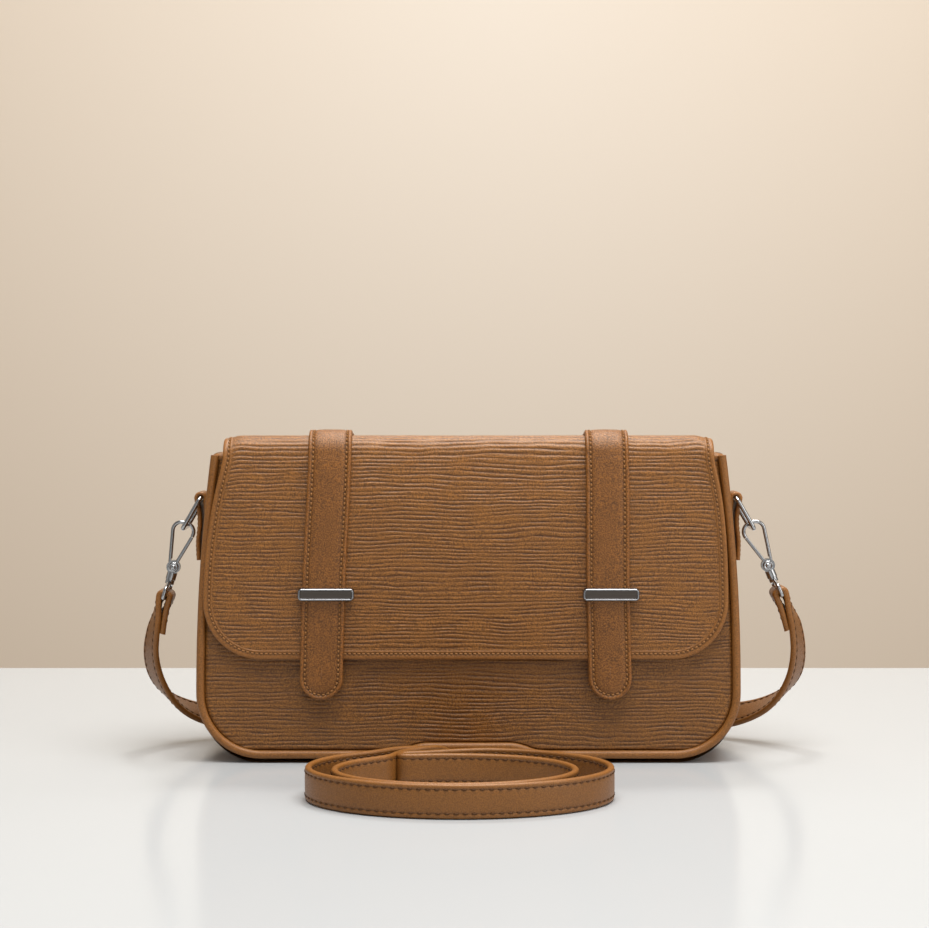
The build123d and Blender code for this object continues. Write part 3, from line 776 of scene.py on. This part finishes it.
def gusset():
    """One strip round the sides and base, soft between its seams."""
    step = 2.0
    line = body_line(GUSSET_INSET, 0.0, step)
    normal = line_normals(line)
    share = np.linspace(-1, 1, 41)
    depth = share * (HALF_DEPTH - GUSSET_INSET)
    puff = (1 - share ** 2) * GUSSET_PUFF - 0.5
    side = np.abs(normal[:, 0])[:, None]
    along = np.arange(len(line))[:, None] * step
    crease = CREASE(along / 17.0, depth[None, :] / 11.0) * 0.35 * (1 - share[None, :] ** 4)
    out = (puff[None, :] + crease) * side + 0.08 * (1 - side)
    x = line[:, 0, None] + normal[:, 0, None] * out
    z = np.maximum(line[:, 1, None] + normal[:, 1, None] * out, 0.02)
    y = np.broadcast_to(MIDDLE_Y + depth, x.shape)
    # Painted shade in the creases and towards the seams, painted highlight where the strip puffs out.
    shade = 0.5 + 0.25 * crease - 0.2 * np.abs(share[None, :]) ** 8
    mesher = Mesher()
    mesher.grid(np.stack([x, y, z], -1), shade=shade, flip=True)
    up = np.insert(normal, 1, 0, axis=1)
    for column in (3, -4):
        stitch(mesher, np.stack([x[:, column], y[:, column], z[:, column]], -1), up, radius=FINE_STITCH_R)
    piece = mesher.build("gusset_leather", [SMOOTH, THREAD])
    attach(piece, "root")
    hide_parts("gusset")


def round_loop(half_x, half_y, radius, count=16):
    """A rounded rectangle in XY about the body's middle, with its outward normals."""
    points = []
    normals = []
    for quarter, (sx, sy) in enumerate(((1, 1), (-1, 1), (-1, -1), (1, -1))):
        turn = np.linspace(quarter, quarter + 1, count) * math.pi / 2
        outward = np.stack([np.cos(turn), np.sin(turn)], -1)
        middle = np.array((sx * (half_x - radius), sy * (half_y - radius)))
        points.append(middle + radius * outward)
        normals.append(outward)
    return np.concatenate(points), np.concatenate(normals)


def fill_sides(points, normals, step):
    """Adds even points along the straight stretches of a closed loop."""
    both = np.hstack([points, normals])
    both = np.vstack([both, both[:1]])
    both = resample(both, step)[:-1]
    return both[:, :2], unit(both[:, 2:])


# From the outside over the mouth's edge and down inside: out, height
MOUTH_SECTION = [
    (0.25, 144.9), (0.42, 145.5), (0.42, 146.4), (0.2, 147.1), (-0.5, 147.6), (-1.6, 147.8), (-2.9, 147.7),
    (-3.9, 147.2), (-4.4, 146.2), (-4.6, 144.6), (-4.35, 144.1), (-4.35, 143.6), (-4.6, 143.1),
    (-4.75, 140.0), (-4.75, 133.6), (-4.5, 132.6), (-4.1, 132.3),
]
# Painted highlight over the mouth's rounded edge, painted shade in the sewn groove and low on the outside.
MOUTH_SHADE = [0.4, 0.5, 0.6, 0.65, 0.7, 0.7, 0.65, 0.6, 0.5, 0.45, 0.15, 0.15, 0.45] + [0.5] * 4
MOUTH_GROOVE = 10         # the level that is sewn


def mouth_facing():
    """Leather bound over the mouth's edge and down inside it."""
    points, normals = fill_sides(*round_loop(HALF_WIDTH - SIDE_TAPER - 0.9, HALF_DEPTH - 0.2, 3.5), 1.8)
    rings = []
    for out, z in MOUTH_SECTION:
        level = points + normals * out
        rings.append(np.stack([level[:, 0], level[:, 1] + MIDDLE_Y, np.full(len(level), z)], -1))
    rings = np.stack(rings)
    mesher = Mesher()
    mesher.grid(rings, shade=np.array(MOUTH_SHADE)[:, None], loop_columns=True, flip=True)
    inward = np.hstack([-normals, np.zeros((len(normals), 1))])
    row = np.vstack([rings[MOUTH_GROOVE], rings[MOUTH_GROOVE][:1]])
    stitch(mesher, row, np.vstack([inward, inward[:1]]))
    piece = mesher.build("mouth_binding", [SMOOTH, THREAD])
    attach(piece, "root")
    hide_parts("mouth_facing")


LINING_TOP = 133.5
LINING_FLOOR = 4.6        # the height of the lining's floor,
LINING_ROUND = 11.4       # and how far above it the walls begin to turn in
LINING_POINTS = 216


def lining_bag():
    """The sewn lining, loose against the walls and gathered into the base."""
    turned = LINING_FLOOR + LINING_ROUND * np.cos(np.linspace(0.1, 1.57, 16))
    levels = np.concatenate([np.linspace(LINING_TOP, LINING_FLOOR + LINING_ROUND, 70), turned])
    rings = []
    shades = []
    for z in levels:
        wide = float(half_width(max(z, 5.0), 5.3, 4.2))
        deep = HALF_DEPTH - 4.6 - 5.0 * (1 - smooth(LINING_FLOOR, LINING_FLOOR + LINING_ROUND, z))
        points = fill_sides(*round_loop(wide, deep, 5.0), 3.0)[0]
        whole = resample(np.vstack([points, points[:1]]), 1.0)
        index = np.linspace(0, len(whole) - 1, LINING_POINTS + 1)[:-1]
        level = np.stack([np.interp(index, np.arange(len(whole)), whole[:, i]) for i in (0, 1)], -1)
        fold = CREASE(level[:, 0] / 21.0 + 9, z / 26.0 + level[:, 1] / 30.0)
        squeeze = 1 - 0.012 * np.clip(fold + 0.4, 0, 1.4)
        x = level[:, 0] * squeeze
        y = MIDDLE_Y + level[:, 1] * squeeze ** 3
        rings.append(np.stack([x, y, z + 0.15 * fold], -1))
        # Painted shade and painted highlight that follow the lining's folds.
        shades.append(0.5 + 0.2 * fold)
    mesher = Mesher()
    rings = np.stack(rings)
    mesher.grid(rings, shade=np.stack(shades), loop_columns=True)
    floor = rings[-1]
    spine = floor * (0.9, 0.0, 1.0) + (0, MIDDLE_Y, 0.1)
    mesher.grid(np.stack([floor, (floor + spine) / 2, spine]), loop_columns=True)
    piece = mesher.build("lining_cloth", [LINING])
    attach(piece, "root")
    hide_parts("lining")


POCKET_HALF = 75.0


def pocket_patch(name, heights, depth, puff, materials, node, seams=()):
    """A soft patch on the back of the lining, between two heights, sewn along its seams."""
    low, high = heights
    u = np.sin(np.linspace(-1, 1, 61) * math.pi / 2)[None, :]
    v = np.sin(np.linspace(-1, 1, 41) * math.pi / 2)[:, None]
    x, z = np.broadcast_arrays(POCKET_HALF * u, (low + high) / 2 + (high - low) / 2 * v)
    wrinkle = CREASE(x / 19.0, z / 15.0)
    y = MIDDLE_Y + depth - puff * (1 - u ** 8) * (1 - v ** 8) * (1 + 0.3 * wrinkle)
    mesher = Mesher()
    # Painted shade and painted highlight that follow the wrinkles.
    mesher.grid(np.stack([x, y, z], -1), shade=0.5 + 0.2 * wrinkle)
    for height in seams:
        ends = np.array([(-POCKET_HALF + 2, MIDDLE_Y + depth - puff, height),
                         (POCKET_HALF - 2, MIDDLE_Y + depth - puff, height)])
        stitch(mesher, ends, np.tile((0, -1.0, 0), (2, 1)))
    piece = mesher.build(name, materials)
    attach(piece, "root")
    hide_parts(node)


body_panel("front_panel", False)
body_panel("back_panel", True)
body_piping("front_piping", False)
body_piping("back_piping", True)
gusset()
mouth_facing()
lining_bag()
pocket_patch("pocket_cloth", (30, 113), 30.2, 0.9, [LINING], "slip_pocket")
pocket_patch("pocket_edge", (111.5, 122), 29.9, 1.1, [SMOOTH, THREAD], "pocket_trim",
             seams=(113.5, 120.0))


# ---------------------------------------------------------------- flap

def flap_swell(x, drop):
    """How far the flap's front stands out from its flat plane, drop down from the bend."""
    share = np.clip(drop / (BODY_HEIGHT - FLAP_BOTTOM), 0, 1)
    across = np.clip(1 - (np.asarray(x, float) / 132) ** 2, 0, 1) ** 0.5
    belly = FLAP_BELLY * across * np.sin(math.pi * share ** 0.6)
    return swell(x, BODY_HEIGHT - drop) * smooth(0, 26, drop) + belly


def flap_place(x, v, height):
    """A point of the flap: across the bag, along it from the crown's middle (front is +),
    and out from the leather's inner surface."""
    x, v, height = np.broadcast_arrays(*(np.asarray(a, float) for a in (x, v, height)))
    side = np.sign(v)
    run = np.abs(v)
    turn = np.clip((run - CROWN_FLAT) / FLAP_BEND_R, 0, math.pi / 2)
    drop = np.maximum(run - CROWN_FLAT - BEND, 0)
    flat = np.minimum(run, CROWN_FLAT)
    y = CROWN_MIDDLE - side * (flat + FLAP_BEND_R * np.sin(turn))
    z = BODY_HEIGHT + FLAP_BEND_R * np.cos(turn) - drop
    out_y = -side * np.sin(turn)
    out_z = np.cos(turn)
    ends = smooth(FLAP_HALF_TOP - END_RUN, FLAP_HALF_TOP + 2, np.abs(x)) * (1 - smooth(4, 22, drop))
    front = flap_swell(x, drop) * (side > 0)
    x = x + FLAP_LEAN * smooth(0, 70, drop) * (side > 0)
    lift = height + front
    fallen = np.clip((y - CROWN_FALL_FROM) / CROWN_FALL_RUN, 0, 1)
    z = z + out_z * lift - END_FALL * ends - CROWN_FALL * np.sin(math.pi / 2 * fallen)
    y = y + out_y * (lift + END_OUT * ends)
    return np.stack([x, y, z], -1)


def flap_normal(v):
    """Which way the flap's outer side faces at v."""
    side = np.sign(v)
    turn = np.clip((np.abs(v) - CROWN_FLAT) / FLAP_BEND_R, 0, math.pi / 2)
    return np.stack([0 * turn, -side * np.sin(turn), np.cos(turn)], -1)


def flap_half(v, inset=0.0):
    """Half of the flap's width at v."""
    v = np.asarray(v, float)
    z = BODY_HEIGHT - np.maximum(np.abs(v) - CROWN_FLAT - BEND, 0)
    rise = BODY_HEIGHT - FLAP_CORNER_Z
    taper = FLAP_HALF_WIDTH - FLAP_HALF_TOP
    radius = (rise ** 2 + taper ** 2) / (2 * taper)
    upper = FLAP_HALF_WIDTH - radius + np.sqrt(radius ** 2 - np.maximum(z - FLAP_CORNER_Z, 0) ** 2)
    corner = FLAP_CORNER_R - inset
    round_x = np.sqrt(np.maximum(corner ** 2 - np.maximum(FLAP_CORNER_Z - z, 0) ** 2, 0))
    lower = FLAP_HALF_WIDTH - FLAP_CORNER_R + round_x
    front = np.where(z >= FLAP_CORNER_Z, upper - inset, lower)
    low = ANCHOR_BOTTOM + ANCHOR_R
    corner = ANCHOR_R - inset
    back_x = np.sqrt(np.maximum(corner ** 2 - np.maximum(low - z, 0) ** 2, 0))
    back = FLAP_HALF_TOP - ANCHOR_R + np.where(z >= low, ANCHOR_R - inset, back_x)
    return np.where(v > 0, front, back)


def flap_leather(name, front, bodies, blend, nodes):
    """Half of the flap's embossed leather, from the crown's middle to its end."""
    sign = 1 if front else -1
    end = (FRONT_END if front else BACK_END) - FLAP_SEAM
    rows = np.linspace(0, 1, 450 if front else 270)[:, None]
    columns = np.linspace(-1, 1, 190)[None, :]
    v = sign * end * rows
    wide = flap_half(v + sign * NUDGE, FLAP_SEAM)
    x = columns * wide
    edge = np.minimum(wide - np.abs(x), end - np.abs(v))
    grain = ripple(x, v + 60)
    fade = smooth(0.0, 2.5, edge)
    height = FLAP_LEATHER + GRAIN * (grain - 0.5) * fade
    # Painted shade in the grain's grooves and a little along the edge under the trim, painted highlight on
    # the ridges.
    shade = 0.5 + (grain - 0.5) * 1.1 * fade - 0.05 * (1 - fade)
    mesher = Mesher()
    mesher.grid(flap_place(x, v, height), shade=np.clip(shade, 0, 1), flip=not front)
    piece = mesher.build(name, [GRAINED])
    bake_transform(piece)
    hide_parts(*nodes)


def flap_edge_line(front, step=1.7):
    """The flap's outline in x and v, from the crown's middle on the left to it on the right."""
    sign = 1 if front else -1
    end = FRONT_END if front else BACK_END
    corner = FLAP_CORNER_R if front else ANCHOR_R
    side_v = np.linspace(0.001, end - corner, 120)
    side = np.stack([flap_half(sign * side_v), side_v], -1)
    turn = np.linspace(0, math.pi / 2, 40)[1:]
    middle = side[-1, 0] - corner
    bend = np.stack([middle + corner * np.cos(turn), end - corner + corner * np.sin(turn)], -1)
    across = np.stack([np.linspace(middle, 0, 60)[1:], np.full(59, end)], -1)
    right = np.concatenate([side, bend, across])
    left = right[:-1] * (-1, 1)
    line = resample(np.concatenate([left, right[::-1]]), step)
    line[:, 1] *= sign
    return line


# The trim's section: in from the flap's edge, height, shade (painted highlight on the rounded edge, painted
# shade in the sewn groove, underneath and where it meets the flap's leather)
TRIM_SECTION = [
    (3.9, -0.62, 0.4), (1.0, -0.62, 0.45), (0.25, -0.5, 0.5), (0.0, 0.1, 0.6), (0.0, 1.5, 0.7),
    (0.12, 2.15, 0.8), (0.45, 2.5, 0.84), (1.0, 2.62, 0.72), (1.7, 2.58, 0.6), (2.2, 2.42, 0.42),
    (2.6, 2.2, 0.02), (3.0, 2.2, 0.02), (3.35, 2.4, 0.42), (3.8, 2.45, 0.55), (4.2, 2.35, 0.52),
    (4.5, 2.0, 0.3),
]
TRIM_GROOVE = (2.8, 2.2)


def flap_trim(name, front, bodies, blend, nodes):
    """The smooth band round half of the flap's edge, with its stitches."""
    line = flap_edge_line(front)
    along = unit(np.gradient(line, axis=0))
    sign = 1 if front else -1
    inward = np.stack([along[:, 1], -along[:, 0]], -1) * sign
    section = np.array(TRIM_SECTION)
    x = line[:, 0, None] + inward[:, 0, None] * section[None, :, 0]
    v = line[:, 1, None] + inward[:, 1, None] * section[None, :, 0]
    v = np.where(sign * v < 0, 0, v)
    wear = 0.05 * CREASE(np.arange(len(line)) / 9.0, 7.7)[:, None]
    rings = flap_place(x, v, section[None, :, 1])
    mesher = Mesher()
    mesher.grid(rings, shade=np.clip(section[None, :, 2] + wear, 0, 1), loop_columns=True, flip=front)
    mesher.cap(rings[0], shade=0.5, flip=not front)
    mesher.cap(rings[-1], shade=0.5, flip=front)
    away, height = TRIM_GROOVE
    seam_x, seam_v = (line + inward * away).T
    stitch(mesher, flap_place(seam_x, seam_v, height)[2:-2], flap_normal(seam_v)[2:-2])
    piece = mesher.build(name, [SMOOTH, THREAD])
    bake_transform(piece)
    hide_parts(*nodes)


def flap_lining(name, front, bodies, blend, nodes):
    """Lining cloth on the inner side of half of the flap."""
    sign = 1 if front else -1
    inset = 3.0
    end = (FRONT_END if front else BACK_END) - inset
    v = sign * end * np.linspace(0, 1, 90)[:, None]
    x = np.linspace(-1, 1, 120)[None, :] * flap_half(v + sign * NUDGE, inset)
    mesher = Mesher()
    soft = CREASE(x / 16.0, v / 12.0)
    # Painted shade and painted highlight that follow the soft folds.
    mesher.grid(flap_place(x, v, -FLAP_LINING + 0.05 * soft), shade=0.5 + 0.15 * soft, flip=front)
    piece = mesher.build(name, [LINING])
    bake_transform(piece)
    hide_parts(*nodes)


# Where each bend begins and ends, in metres, and the two bodies that it joins
REAR_BEND = ((0, 0.0387, 0.1385), (0, 0.0215, 0.1570))
FRONT_BEND = ((0, -0.0362, 0.1478), (0, -0.0362, 0.1362))
REAR = (("root", "flap_top"), REAR_BEND)
FRONT = (("flap_top", "flap_front"), FRONT_BEND)
flap_leather("flap_back_half", False, *REAR, ["flap_anchor", "flap_crown"])
flap_leather("flap_front_half", True, *FRONT, ["flap_face"])
flap_trim("trim_back_half", False, *REAR, [])
flap_trim("trim_front_half", True, *FRONT, ["flap_edge_trim"])
flap_lining("lining_back_half", False, *REAR, [])
flap_lining("lining_front_half", True, *FRONT, ["flap_lining"])


# ---------------------------------------------------------------- flap straps

# Top of a flap strap: in from its edge, height over the flap's leather, shade (painted highlight on the
# rounded edge, painted shade in the sewn groove and at its foot)
FLAP_STRAP_SECTION = [
    (0.55, 0.02, 0.35), (0.1, 0.3, 0.45), (0.0, 0.9, 0.6), (0.05, 1.9, 0.7), (0.3, 2.5, 0.82),
    (0.8, 2.85, 0.85), (1.35, 2.8, 0.68), (1.8, 2.55, 0.45), (2.1, 2.28, 0.02), (2.6, 2.26, 0.02),
    (2.95, 2.5, 0.4), (3.6, 2.75, 0.5), (5.2, 2.92, 0.52), (7.5, 3.0, 0.5), (10.24, 3.02, 0.5),
]
# The strap's underside against the flap, in painted shade.
UNDERSIDE = [(10.24, 0.02, 0.4), (4.0, 0.02, 0.4)]
FLAP_STRAP_GROOVE = (2.35, 2.28)


def strap_middle(side, v):
    """The x of a flap strap's middle at v."""
    z = BODY_HEIGHT - np.maximum(np.abs(v) - CROWN_FLAT - BEND, 0)
    share = np.clip((BODY_HEIGHT - z) / (BODY_HEIGHT - TIP_Z), 0, 1.1)
    return side * (STRAP_X[0] + (STRAP_X[1] - STRAP_X[0]) * np.where(v > 0, share, 0))


def strap_ring(side, front, inset):
    """The strap's outline moved in by inset, from the crown's middle round the tip and back."""
    tip_z = TIP_Z if front else REAR_TIP_Z
    centre = CROWN_FLAT + BEND + BODY_HEIGHT - tip_z
    radius = FLAP_STRAP_HALF - inset
    straight = np.linspace(0, centre, 170 if front else 110)
    turn = np.linspace(math.pi, 0, 34)
    left = np.stack([np.full(len(straight), -radius), straight], -1)
    tip = np.stack([radius * np.cos(turn), centre + radius * np.sin(turn)], -1)
    right = left[::-1] * (-1, 1)
    line = np.concatenate([left, tip[1:-1], right])
    sign = 1 if front else -1
    v = line[:, 1] * sign
    return strap_middle(side, v + sign * NUDGE) + line[:, 0], v


def flap_strap(name, side, front, bodies, blend, nodes):
    """Half of a strap that is sewn over the flap, with its stitched edge."""
    rings = []
    values = []
    for inset, height, shade in UNDERSIDE + FLAP_STRAP_SECTION:
        x, v = strap_ring(side, front, inset)
        waver = 0.05 * CREASE(x / 6.0, v / 6.0) * (height > 2)
        rings.append(flap_place(x, v, FLAP_LEATHER + height + waver))
        values.append(np.clip(shade + 0.08 * CREASE(x / 9.0 + 30, v / 7.0), 0, 1))
    mesher = Mesher()
    mesher.grid(np.stack(rings), shade=np.stack(values), flip=not front)
    inset, height = FLAP_STRAP_GROOVE
    x, v = strap_ring(side, front, inset)
    stitch(mesher, flap_place(x, v, FLAP_LEATHER + height)[3:-3], flap_normal(v)[3:-3])
    piece = mesher.build(name, [STRAP_LEATHER, THREAD])
    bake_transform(piece)
    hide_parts(*nodes)


for side_name, side in SIDES.items():
    flap_strap(f"{side_name}_strap_back_half", side, False, *REAR,
               [f"{side_name}_flap_strap_rear", f"{side_name}_flap_strap_top"])
    flap_strap(f"{side_name}_strap_front_half", side, True, *FRONT, [f"{side_name}_flap_strap_front"])


# ---------------------------------------------------------------- keepers

# In from the keeper's outline, out from the flap's leather
KEEPER_SECTION = [
    (0.25, 0.1), (0.0, 0.35), (0.0, 3.9), (0.12, 4.6), (0.42, 5.05), (0.78, 5.2), (1.0, 5.15), (1.15, 4.95),
    (1.18, 4.55),
]
INLAY_SECTION = [(1.0, 4.5), (1.0, 4.66), (1.35, 4.78), (1.8, 4.8)]
# The corners' radius on the outline, and the least that it shrinks to
KEEPER_CORNERS = (1.9, 0.3)
INLAY_CORNERS = (1.4, 0.25)


def keeper_rings(middle, base, section, corner, least):
    """Outlines of a keeper's section, with corners of at least the least radius."""
    half_x, half_z = KEEPER_HALF
    rings = []
    for inset, out in section:
        loop = round_loop(half_x - inset, half_z - inset, max(corner - inset, least), 9)[0]
        y = np.full(len(loop), base - out)
        rings.append(np.stack([middle + loop[:, 0], y, KEEPER_Z + loop[:, 1]], -1))
    return np.stack(rings)


def keeper(name, side):
    """A bevelled metal loop over the strap, with a brushed plate set into its face."""
    v = CROWN_FLAT + BEND + BODY_HEIGHT - KEEPER_Z
    middle = float(strap_middle(side, np.array(v)))
    lift = float(flap_swell(middle, BODY_HEIGHT - KEEPER_Z)) - KEEPER_SINK
    base = FLAP_FRONT - FLAP_LEATHER - lift
    loop = keeper_rings(middle, base, KEEPER_SECTION, *KEEPER_CORNERS)
    mesher = Mesher()
    mesher.grid(loop, loop_columns=True)
    mesher.cap(loop[0], flip=True)
    metal_loop = mesher.build(f"{name}_keeper_frame", [DARK_STEEL])
    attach(metal_loop, "flap_front")
    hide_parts(f"{name}_keeper")
    plate = keeper_rings(middle, base, INLAY_SECTION, *INLAY_CORNERS)
    mesher = Mesher()
    mesher.grid(plate, loop_columns=True)
    mesher.cap(plate[-1])
    mesher.cap(plate[0], flip=True)
    inlay = mesher.build(f"{name}_keeper_inlay", [BRUSHED])
    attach(inlay, "flap_front")
    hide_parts(f"{name}_keeper_plate")


for side_name, side in SIDES.items():
    keeper(side_name, side)


# ---------------------------------------------------------------- side tabs

TAB_SHEET = 1.9
TAB_FOOT_Z = 94.8
TAB_SPREAD_Z = 114.0      # where the tab leaves the gusset for the ring
RING_WIRE_R = 1.1
# One edge of the tab's section: across, out from the sheet's middle, shade (painted highlight on the rounded
# rim, painted shade in the sewn groove)
TAB_EDGE = [
    (-7.5, 0.0, 0.7), (-7.4, 0.45, 0.75), (-7.05, 0.82, 0.78), (-6.5, 0.95, 0.6), (-5.9, 0.82, 0.3),
    (-5.3, 0.95, 0.5), (0.0, 1.0, 0.5),
]
TAB_SEAM = (5.9, 0.86)    # across, and out from the sheet's middle
TAB_SEWN = slice(-62, -3)     # the points of the tab's line that the stitches follow


def tab_line():
    """The tab's centreline in XZ on the right: up the gusset, round the ring's bar, and down."""
    half = TAB_SHEET / 2
    pivot = np.array(RING_PIVOT)
    low = float(half_width(TAB_FOOT_Z, GUSSET_INSET, 0.0)) + 2.3 + half
    high = float(half_width(TAB_SPREAD_Z, GUSSET_INSET, 0.0)) + 2.1 + half
    radius = RING_WIRE_R + 0.45 + half
    turn = np.radians(np.linspace(215, -55, 30))
    loop = pivot + radius * np.stack([np.cos(turn), np.sin(turn)], -1)
    inner = [(low, TAB_FOOT_Z), (low - 0.1, 100.0), (high + 0.15, 108.0), (high + 0.2, TAB_SPREAD_Z),
             (pivot[0] - 2.6, 119.5)]
    outer = [(high + 3.6, 117.5), (high + 3.5, 112.0), (low + 2.7, 104.0), (low + 2.4, TAB_FOOT_Z)]
    return np.concatenate([np.array(inner), loop, np.array(outer)])


def relax(line, times):
    """Evens a given line out without moving its ends."""
    for _ in range(times):
        line[1:-1] = (line[:-2] + 2 * line[1:-1] + line[2:]) / 4
    return line


def side_tab(name, side):
    """A strip of leather folded round the ring's bar, sewn to itself and to the gusset."""
    line = relax(resample(tab_line(), 0.55), 10)
    along = unit(np.gradient(line, axis=0))
    out = np.stack([-along[:, 1], along[:, 0]], -1)
    upper = TAB_EDGE + [(-a, b, s) for a, b, s in TAB_EDGE[-2::-1]]
    lower = [(a, -b, s) for a, b, s in upper[-2:0:-1]]
    section = np.array(upper + lower)
    x = line[:, 0, None] + out[:, 0, None] * section[None, :, 1]
    z = line[:, 1, None] + out[:, 1, None] * section[None, :, 1]
    y = np.broadcast_to(MIDDLE_Y + section[:, 0], x.shape)
    rings = np.stack([side * x, y, z], -1)
    mesher = Mesher()
    mesher.grid(rings, shade=section[None, :, 2], loop_columns=True, flip=side > 0)
    mesher.cap(rings[0], shade=0.6, flip=side < 0)
    mesher.cap(rings[-1], shade=0.6, flip=side > 0)
    away, height = TAB_SEAM
    sewn = line[TAB_SEWN] + height * out[TAB_SEWN]
    up = np.insert(out[TAB_SEWN] * (side, 1), 1, 0, axis=1)
    for across in (-away, away):
        row = np.insert(sewn * (side, 1), 1, MIDDLE_Y + across, axis=1)
        stitch(mesher, row, up, radius=FINE_STITCH_R)
    piece = mesher.build(f"{name}_tab", [SMOOTH, THREAD])
    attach(piece, "root")
    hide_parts(f"{name}_side_tab")


for side_name, side in SIDES.items():
    side_tab(side_name, side)

# ---------------------------------------------------------------- stage, lights and camera

def stage_sheet(name, corners, material):
    """A flat sheet of the setting, which is no part of the bag."""
    mesh = bpy.data.meshes.new(name)
    mesh.from_pydata(corners, [], [(0, 1, 2, 3)])
    mesh.materials.append(material)
    sheet = bpy.data.objects.new(name, mesh)
    bpy.context.scene.collection.objects.link(sheet)


def floor_material():
    """A pale, lightly glossy table top."""
    look = Shader("table", roughness=0.16, specular=0.08)
    stops = [(0.3, (0.445, 0.455, 0.46)), (0.7, (0.455, 0.465, 0.47))]
    look.feed("Base Color", look.ramp(look.noise(3.0, detail=1.0), stops))
    return look.material


def wall_material():
    """A matt wall with a painted pool of light: its colour darkens away from its middle."""
    look = Shader("wall", roughness=0.95, specular=0.05)
    gradient = look.nodes.new("ShaderNodeTexGradient")
    gradient.gradient_type = "SPHERICAL"
    mapping = look.nodes.new("ShaderNodeMapping")
    mapping.inputs["Location"].default_value = (-0.02, 0.0, -0.34)
    mapping.inputs["Scale"].default_value = (0.62, 0.0, 0.5)
    look.links.new(look.where, mapping.inputs["Vector"])
    look.links.new(mapping.outputs["Vector"], gradient.inputs["Vector"])
    stops = [(0.0, (0.53, 0.385, 0.265)), (0.45, (0.66, 0.545, 0.43)), (1.0, (0.72, 0.635, 0.545))]
    look.feed("Base Color", look.ramp(gradient.outputs["Fac"], stops))
    return look.material


# The stage, the lights and the camera are in metres
TABLE_BACK = 0.31
WALL_Y = 1.5
stage_sheet("table", [(-3, -2.2, 0), (3, -2.2, 0), (3, TABLE_BACK, 0), (-3, TABLE_BACK, 0)], floor_material())
stage_sheet("wall", [(-3, WALL_Y, -1.5), (3, WALL_Y, -1.5), (3, WALL_Y, 3), (-3, WALL_Y, 3)], wall_material())


def soft_light(name, place, target, size, power, colour):
    """A rectangular lamp at a place, turned to its target."""
    light = bpy.data.lights.new(name, "AREA")
    light.shape = "RECTANGLE"
    light.size, light.size_y = size
    light.energy = power
    light.color = colour
    holder = bpy.data.objects.new(name, light)
    bpy.context.scene.collection.objects.link(holder)
    place = np.array(place, float)
    holder.location = place
    direction = np.array(target, float) - place
    yaw = math.atan2(direction[0], -direction[1])
    pitch = math.atan2(math.hypot(direction[0], direction[1]), -direction[2])
    holder.rotation_euler = (pitch, 0, math.pi + yaw)


soft_light("overhead", (0.2, -0.5, 1.9), (0, -0.02, 0.08), (1.7, 1.0), 56, (1.0, 1.0, 0.99))
soft_light("key", (0.03, 0.42, 1.25), (0, 0, 0.08), (0.14, 0.14), 5, (1.0, 0.99, 0.97))
soft_light("front", (0.35, -1.9, 0.95), (0, 0, 0.08), (1.6, 1.2), 4.5, (1.0, 0.99, 0.98))
soft_light("right", (1.3, -0.8, 0.6), (0, 0, 0.08), (0.9, 0.9), 6, (1.0, 0.99, 0.97))
soft_light("left", (-1.5, -0.2, 0.6), (0, 0, 0.08), (0.9, 0.9), 0.7, (1.0, 0.99, 0.97))
soft_light("wall_light", (0.1, 0.75, 1.6), (0.05, WALL_Y, 0.3), (1.6, 0.5), 8.9, (1.0, 0.965, 0.905))

scene = bpy.context.scene
scene.world = bpy.data.worlds.new("studio")
scene.world.use_nodes = True
sky = scene.world.node_tree.nodes["Background"]
sky.inputs["Color"].default_value = (1.0, 0.985, 0.96, 1)
sky.inputs["Strength"].default_value = 0.27
scene.view_settings.view_transform = "Standard"

CAMERA_PLACE = (-0.0019, -1.03335, 0.178)
CAMERA_DOWN = 2.01        # degrees below level
camera = bpy.data.cameras.new("camera")
camera.lens = 81.53
camera.sensor_width = 36.0
camera.clip_start = 0.01
camera_holder = bpy.data.objects.new("camera", camera)
camera_holder.location = CAMERA_PLACE
camera_holder.rotation_euler = (math.radians(90 - CAMERA_DOWN), 0, 0)
scene.collection.objects.link(camera_holder)
scene.camera = camera_holder
